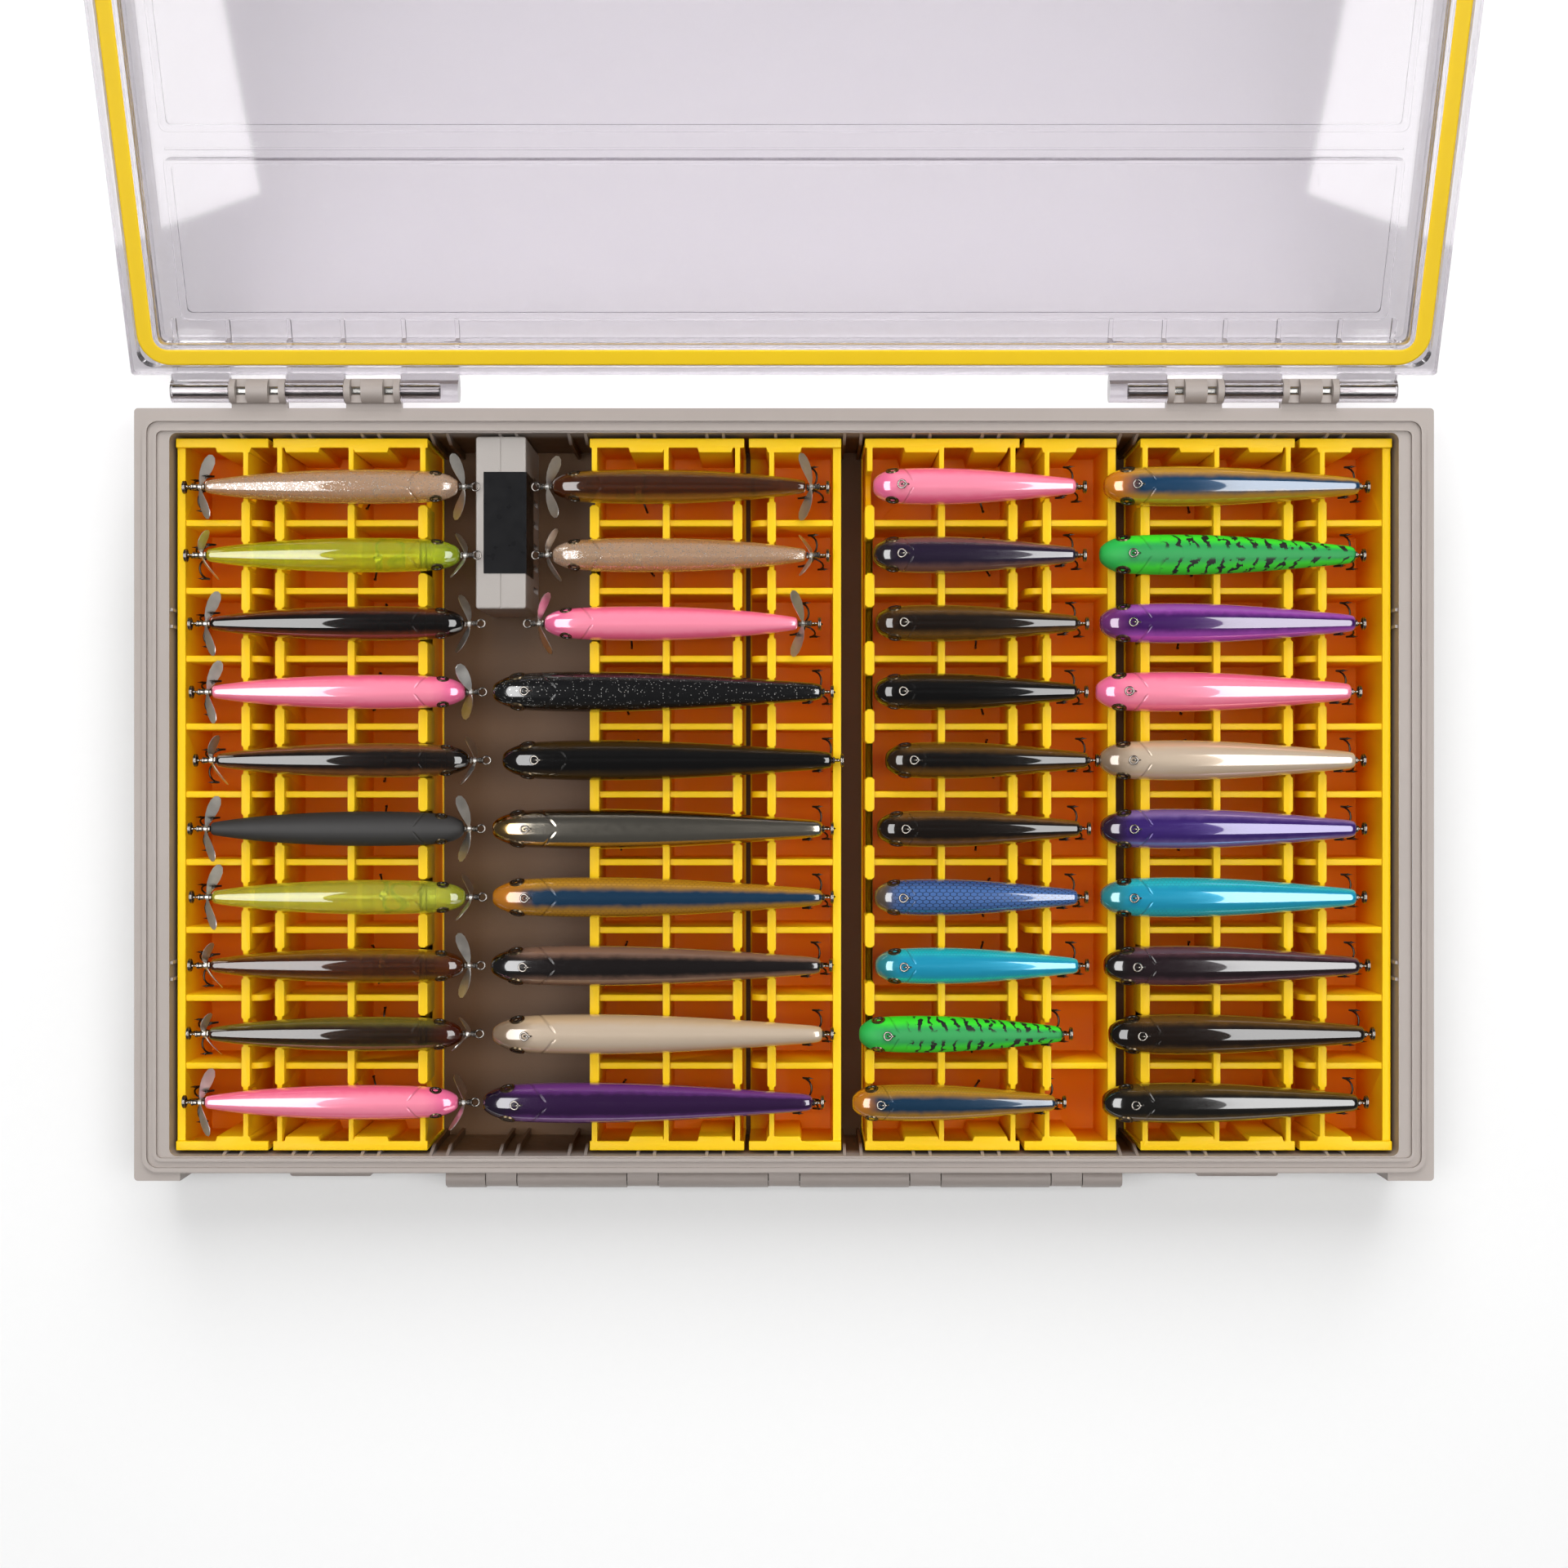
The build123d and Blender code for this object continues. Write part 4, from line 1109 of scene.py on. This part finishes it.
class TACKLE_OT_lid(bpy.types.Operator):
    """Finishes the clear lid and its yellow seal"""

    bl_idname = "tackle.lid"
    bl_label = "Lid And Seal"

    def execute(self, context):
        lid = context.scene.tackle_lid
        rack = context.scene.tackle_rack
        paint(NODES["lid"], clear_plastic("Clear lid plastic", lid.tint, lid.roughness))
        rubber = moulded_plastic("Yellow seal rubber", rack.seal_yellow, 0.5, 0.4 * MM, shine=0.25)
        paint(NODES["lid_gasket"], rubber)
        return {"FINISHED"}


class TACKLE_OT_racks(bpy.types.Operator):
    """Rounds the edges of the eight comb racks and gives them their yellow plastic, with painted shade down
    in the bays
    """

    bl_idname = "tackle.racks"
    bl_label = "Comb Racks"

    def execute(self, context):
        rack = context.scene.tackle_rack
        yellow = moulded_plastic(
            "Rack yellow plastic", rack.yellow, rack.roughness, 0.7 * MM, soft=0.12, shine=0.12
        )
        self.paint_bay_shade(yellow, rack)
        for number in range(1, 5):
            for kind in ("rack_wide", "rack_narrow"):
                paint(softened(f"{kind}_{number}", rack.edge), yellow)
        return {"FINISHED"}


    def paint_bay_shade(self, yellow, rack):
        """Painted shade and painted bounce light: the yellow plastic goes to a deep orange down in the bays,
        away from the rack's outer skin.
        """
        hand = Tree(yellow.node_tree)
        shader = yellow.node_tree.nodes["Principled BSDF"]
        place = hand.add("ShaderNodeTexCoord").outputs["Object"]
        low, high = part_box("rack_wide_1")
        height = hand.add("ShaderNodeSeparateXYZ", {0: place}).outputs[2]
        tall = high.z - low.z
        unshaded = hand.step(height, low.z + 0.1 * tall, high.z - 0.02 * tall)
        inward = hand.add("ShaderNodeAttribute", attribute_name="inward").outputs["Fac"]
        unshaded = hand.math("MAXIMUM", unshaded, hand.inverse(inward))
        # Painted shade: lower down and away from the outer skin the yellow goes to the painted bay shade
        outer = shader.inputs["Base Color"].links[0].from_socket
        hand.feed(shader.inputs["Base Color"], hand.mix(unshaded, list(rack.painted_bay_shade) + [1.0], outer))


class TACKLE_OT_holder(bpy.types.Operator):
    """Finishes the moisture holder, its plain label and its pad"""

    bl_idname = "tackle.holder"
    bl_label = "Moisture Holder"

    def execute(self, context):
        case = context.scene.tackle_case
        gray = moulded_plastic("Holder gray plastic", case.holder_gray, 0.45, 0.5 * MM)
        paint(NODES["holder_case"], gray)
        paint(NODES["holder_label"], moulded_plastic(
            "Black label film", (0.006, 0.006, 0.007), 0.3, 0.3 * MM, 0.003 * MM, shine=0.15
        ))
        low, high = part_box("holder_pad")
        middle = (low + high) / 2
        size = high - low
        start_clean()
        bpy.ops.mesh.primitive_cube_add(size=1.0, location=middle, scale=size * 0.985)
        bpy.ops.object.mode_set(mode="EDIT")
        bpy.ops.mesh.subdivide(number_cuts=5)
        bpy.ops.object.mode_set(mode="OBJECT")
        pad = finish_shape("holder_pad_felt", 60.0)
        half = size / 2
        for vertex in pad.data.vertices:
            rel = vertex.co - middle
            pull = [1.0 - 0.1 * (rel[(k + 1) % 3] / half[(k + 1) % 3]) ** 4 for k in range(3)]
            vertex.co = middle + Vector((rel.x * pull[0], rel.y * pull[1], rel.z * pull[2]))
        smoother = pad.modifiers.new("crown", "SUBSURF")
        smoother.levels = 1
        smoother.render_levels = 1
        apply_modifiers(pad)
        paint(pad, woven_pad("White felt"))
        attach(pad, BODY_OF["holder_pad"])
        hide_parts("holder_pad")
        return {"FINISHED"}


class TACKLE_OT_lures(bpy.types.Operator):
    """Makes the forty lures with their eyes, rings, hooks and propellers"""

    bl_idname = "tackle.lures"
    bl_label = "Lures"

    def execute(self, context):
        lure = context.scene.tackle_lure
        bright = metal("Polished ring steel", (0.36, 0.33, 0.3), 0.22)
        blade_steel = metal("Stamped blade steel", (0.86, 0.84, 0.8), 0.34)
        dark = metal("Black nickel hook", (0.05, 0.042, 0.036), 0.3)
        rim = metal("Eye rim gilt", (0.2, 0.15, 0.09), 0.3)
        pupil, hand, shader, place = new_material("Eye gloss black")
        spots = hand.noise(place, 900.0, 2.0)
        hand.feed(shader.inputs["Base Color"], hand.mix(spots, PUPIL_BLACK, PUPIL_BROWN))
        shader.inputs["Roughness"].default_value = 0.08
        shader.inputs["Coat Weight"].default_value = 1.0
        enamels = {}
        kit = {
            "washer": make_bead("washer_template", 1.5 * MM, 0.9 * MM),
            "bead": make_bead("bead_template", 1.25 * MM, 1.7 * MM),
            "eye_loop": make_ring("eye_loop_template", EYE_LOOP_RADIUS * MM, lure.wire),
            "split_ring": self.make_split_ring(lure),
            "treble": make_treble("treble_template", lure),
            "blades": make_blade_pair("blades_template", lure),
        }
        for part in ("washer", "bead", "eye_loop", "split_ring"):
            paint(kit[part], bright)
        paint(kit["treble"], dark)
        paint(kit["blades"], blade_steel)
        bodies = {}
        eyes = {}
        for name, kind in LURE_KINDS.items():
            bodies[name] = make_lure_body(name + "_template", kind)
            eye, radius = make_eye(name + "_eye_template", kind["eye_long"])
            eyes[name] = settle_eye(eye, name + "_eye_template", radius)
            paint(eyes[name], rim, pupil)
        for node, letter, row, kind_name, slot in lure_rows():
            kind = LURE_KINDS[kind_name]
            low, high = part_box(node)
            way = -1 if letter == "a" else 1
            nose_x = high.x if way < 0 else low.x
            axis_y = (low.y + high.y) / 2
            axis_z = (low.z + high.z) / 2
            lay = moved(nose_x, axis_y, axis_z) @ turned(0 if way > 0 else 180, "Z")
            body_name = BODY_OF[node]
            if slot not in enamels:
                enamels[slot] = lure_enamel(slot, LURE_FINISHES[slot])
            body = joined(node + "_body", [(bodies[kind_name], lay)], body_name)
            paint(body, enamels[slot])
            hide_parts(node)
            hook_share = kind["belly_hook"]
            if letter == "c":
                wanted = (SHORT_HOOK_X * MM - nose_x) / (kind["length"] * MM)
                hook_share = min(max(wanted, SHORT_HOOK_SHARES[0]), SHORT_HOOK_SHARES[1])
            parts = tackle_parts(kit, kind, hook_share, row)
            joined(node + "_tackle", [(part, lay @ place) for part, place in parts], body_name)
            pair = self.eye_places(kind)
            seats = [(eyes[kind_name], lay @ place) for place in pair]
            joined(node + "_eyes", seats, body_name)
        drop_templates(*kit.values(), *bodies.values(), *eyes.values())
        return {"FINISHED"}

    def make_split_ring(self, lure):
        """Two turns of flat wire side by side."""
        first = make_ring("split_ring_template", SPLIT_RING_RADIUS * MM, lure.wire * 0.85, steps=18)
        second = first.copy()
        second.data = first.data.copy()
        second.data.transform(moved(0.12 * MM, 0, lure.wire * 0.8))
        bpy.context.scene.collection.objects.link(second)
        start_clean()
        first.select_set(True)
        second.select_set(True)
        bpy.context.view_layer.objects.active = first
        bpy.ops.object.join()
        return first

    def eye_places(self, kind):
        """The two eyes: sunk in the skin, well down from the top on both sides."""
        at = kind["eye_at"]
        radius = radius_at(kind, at)
        slope = (radius_at(kind, at + 0.03) - radius_at(kind, at - 0.03)) / (0.06 * kind["length"] * MM)
        places = []
        for side in (-1, 1):
            spot = moved(at * kind["length"] * MM) @ turned(-EYE_DOWN * side, "X")
            sunk = spot @ moved(0, 0, radius - EYE_SUNK * MM)
            places.append(sunk @ Matrix.Rotation(-math.atan(slope), 4, "Y"))
        return places


class TACKLE_OT_stage(bpy.types.Operator):
    """Lays the pale floor and sets the soft lamps and the camera"""

    bl_idname = "tackle.stage"
    bl_label = "Stage"

    def execute(self, context):
        stage = context.scene.tackle_stage
        start_clean()
        bpy.ops.mesh.primitive_plane_add(size=FLOOR_SIZE, location=(0, 0, 0))
        floor = context.object
        floor.name = "floor"
        white, hand, shader, place = new_material("Pale paper floor")
        fibre = hand.noise(place, 240.0, 3.0)
        pale = list(stage.floor) + [1.0]
        hand.feed(shader.inputs["Base Color"], hand.mix(fibre, [c * 0.99 for c in pale[:3]] + [1.0], pale))
        shader.inputs["Roughness"].default_value = 0.9
        paint(floor, white)
        strip = self.lamp("strip_lamp", STRIP_PLACE, STRIP_SIZE, stage.strip_power)
        key = self.lamp("key_lamp", KEY_PLACE, KEY_SIZE, stage.key_power)
        strip.visible_glossy = False
        key.visible_glossy = False
        for side in (-1, 1):
            place = (side * GLINT_ASIDE, 0.02, GLINT_HEIGHT)
            glint = self.lamp("glint_lamp", place, GLINT_SIZE, stage.glint_power)
            glint.visible_diffuse = False
        self.sky(context.scene, stage.sky)
        start_clean()
        bpy.ops.object.camera_add(location=(0, CAMERA_Y * MM, stage.camera_height), rotation=(0, 0, 0))
        camera = context.object
        camera.data.lens = stage.lens
        camera.data.sensor_width = 36.0
        camera.data.sensor_fit = "HORIZONTAL"
        camera.data.clip_start = 0.02
        camera.data.clip_end = 30.0
        context.scene.camera = camera
        context.scene.view_settings.view_transform = "Standard"
        return {"FINISHED"}

    def lamp(self, name, place, size, power):
        """A soft rectangular lamp that faces the case."""
        start_clean()
        bpy.ops.object.light_add(type="AREA", location=place)
        lamp = bpy.context.object
        lamp.name = name
        lamp.data.shape = "RECTANGLE"
        lamp.data.size = size[0]
        lamp.data.size_y = size[1]
        lamp.data.energy = power
        lamp.rotation_euler = (-Vector(place)).to_track_quat("-Z", "Y").to_euler()
        return lamp

    def sky(self, scene, strength):
        """White all round: full where it is looked at, weak as light, and weaker still in reflections."""
        world = bpy.data.worlds.new("Even light")
        world.use_nodes = True
        hand = Tree(world.node_tree)
        path = hand.add("ShaderNodeLightPath").outputs
        glossy = hand.math("MULTIPLY", path["Is Glossy Ray"], 1.0 - 0.3 * strength)
        diffuse = hand.math("MULTIPLY", path["Is Diffuse Ray"], 1.0 - strength)
        background = world.node_tree.nodes["Background"]
        background.inputs["Color"].default_value = (1.0, 1.0, 1.0, 1.0)
        strength_left = hand.math("SUBTRACT", hand.inverse(glossy), diffuse)
        hand.feed(background.inputs["Strength"], strength_left)
        world.cycles.sampling_method = "NONE"
        scene.world = world


OPERATORS = (
    TACKLE_OT_node_groups,
    TACKLE_OT_case,
    TACKLE_OT_lid,
    TACKLE_OT_racks,
    TACKLE_OT_holder,
    TACKLE_OT_lures,
    TACKLE_OT_stage,
)


class TACKLE_PT_panel(bpy.types.Panel):
    """Lists the settings and the steps in order"""

    bl_label = "Tackle Case"
    bl_idname = "TACKLE_PT_panel"
    bl_space_type = "VIEW_3D"
    bl_region_type = "UI"
    bl_category = PANEL_TAB

    def draw(self, context):
        for key, group in SETTINGS.items():
            box = self.layout.box()
            box.label(text=group.__doc__)
            for name in group.__annotations__:
                box.prop(getattr(context.scene, key), name)
        for operator in OPERATORS:
            self.layout.operator(operator.bl_idname)


def register():
    """Registers the settings, the operators and the panel."""
    for key, group in SETTINGS.items():
        bpy.utils.register_class(group)
        setattr(bpy.types.Scene, key, bpy.props.PointerProperty(type=group))
    for operator in OPERATORS:
        bpy.utils.register_class(operator)
    bpy.utils.register_class(TACKLE_PT_panel)


def unregister():
    """Takes everything that register added away again."""
    bpy.utils.unregister_class(TACKLE_PT_panel)
    for operator in reversed(OPERATORS):
        bpy.utils.unregister_class(operator)
    for key, group in reversed(SETTINGS.items()):
        delattr(bpy.types.Scene, key)
        bpy.utils.unregister_class(group)


def main():
    """Runs every step in order."""
    register()
    bpy.ops.tackle.node_groups()
    bpy.ops.tackle.case()
    bpy.ops.tackle.lid()
    bpy.ops.tackle.racks()
    bpy.ops.tackle.holder()
    bpy.ops.tackle.lures()
    bpy.ops.tackle.stage()


if __name__ == "__main__":
    main()
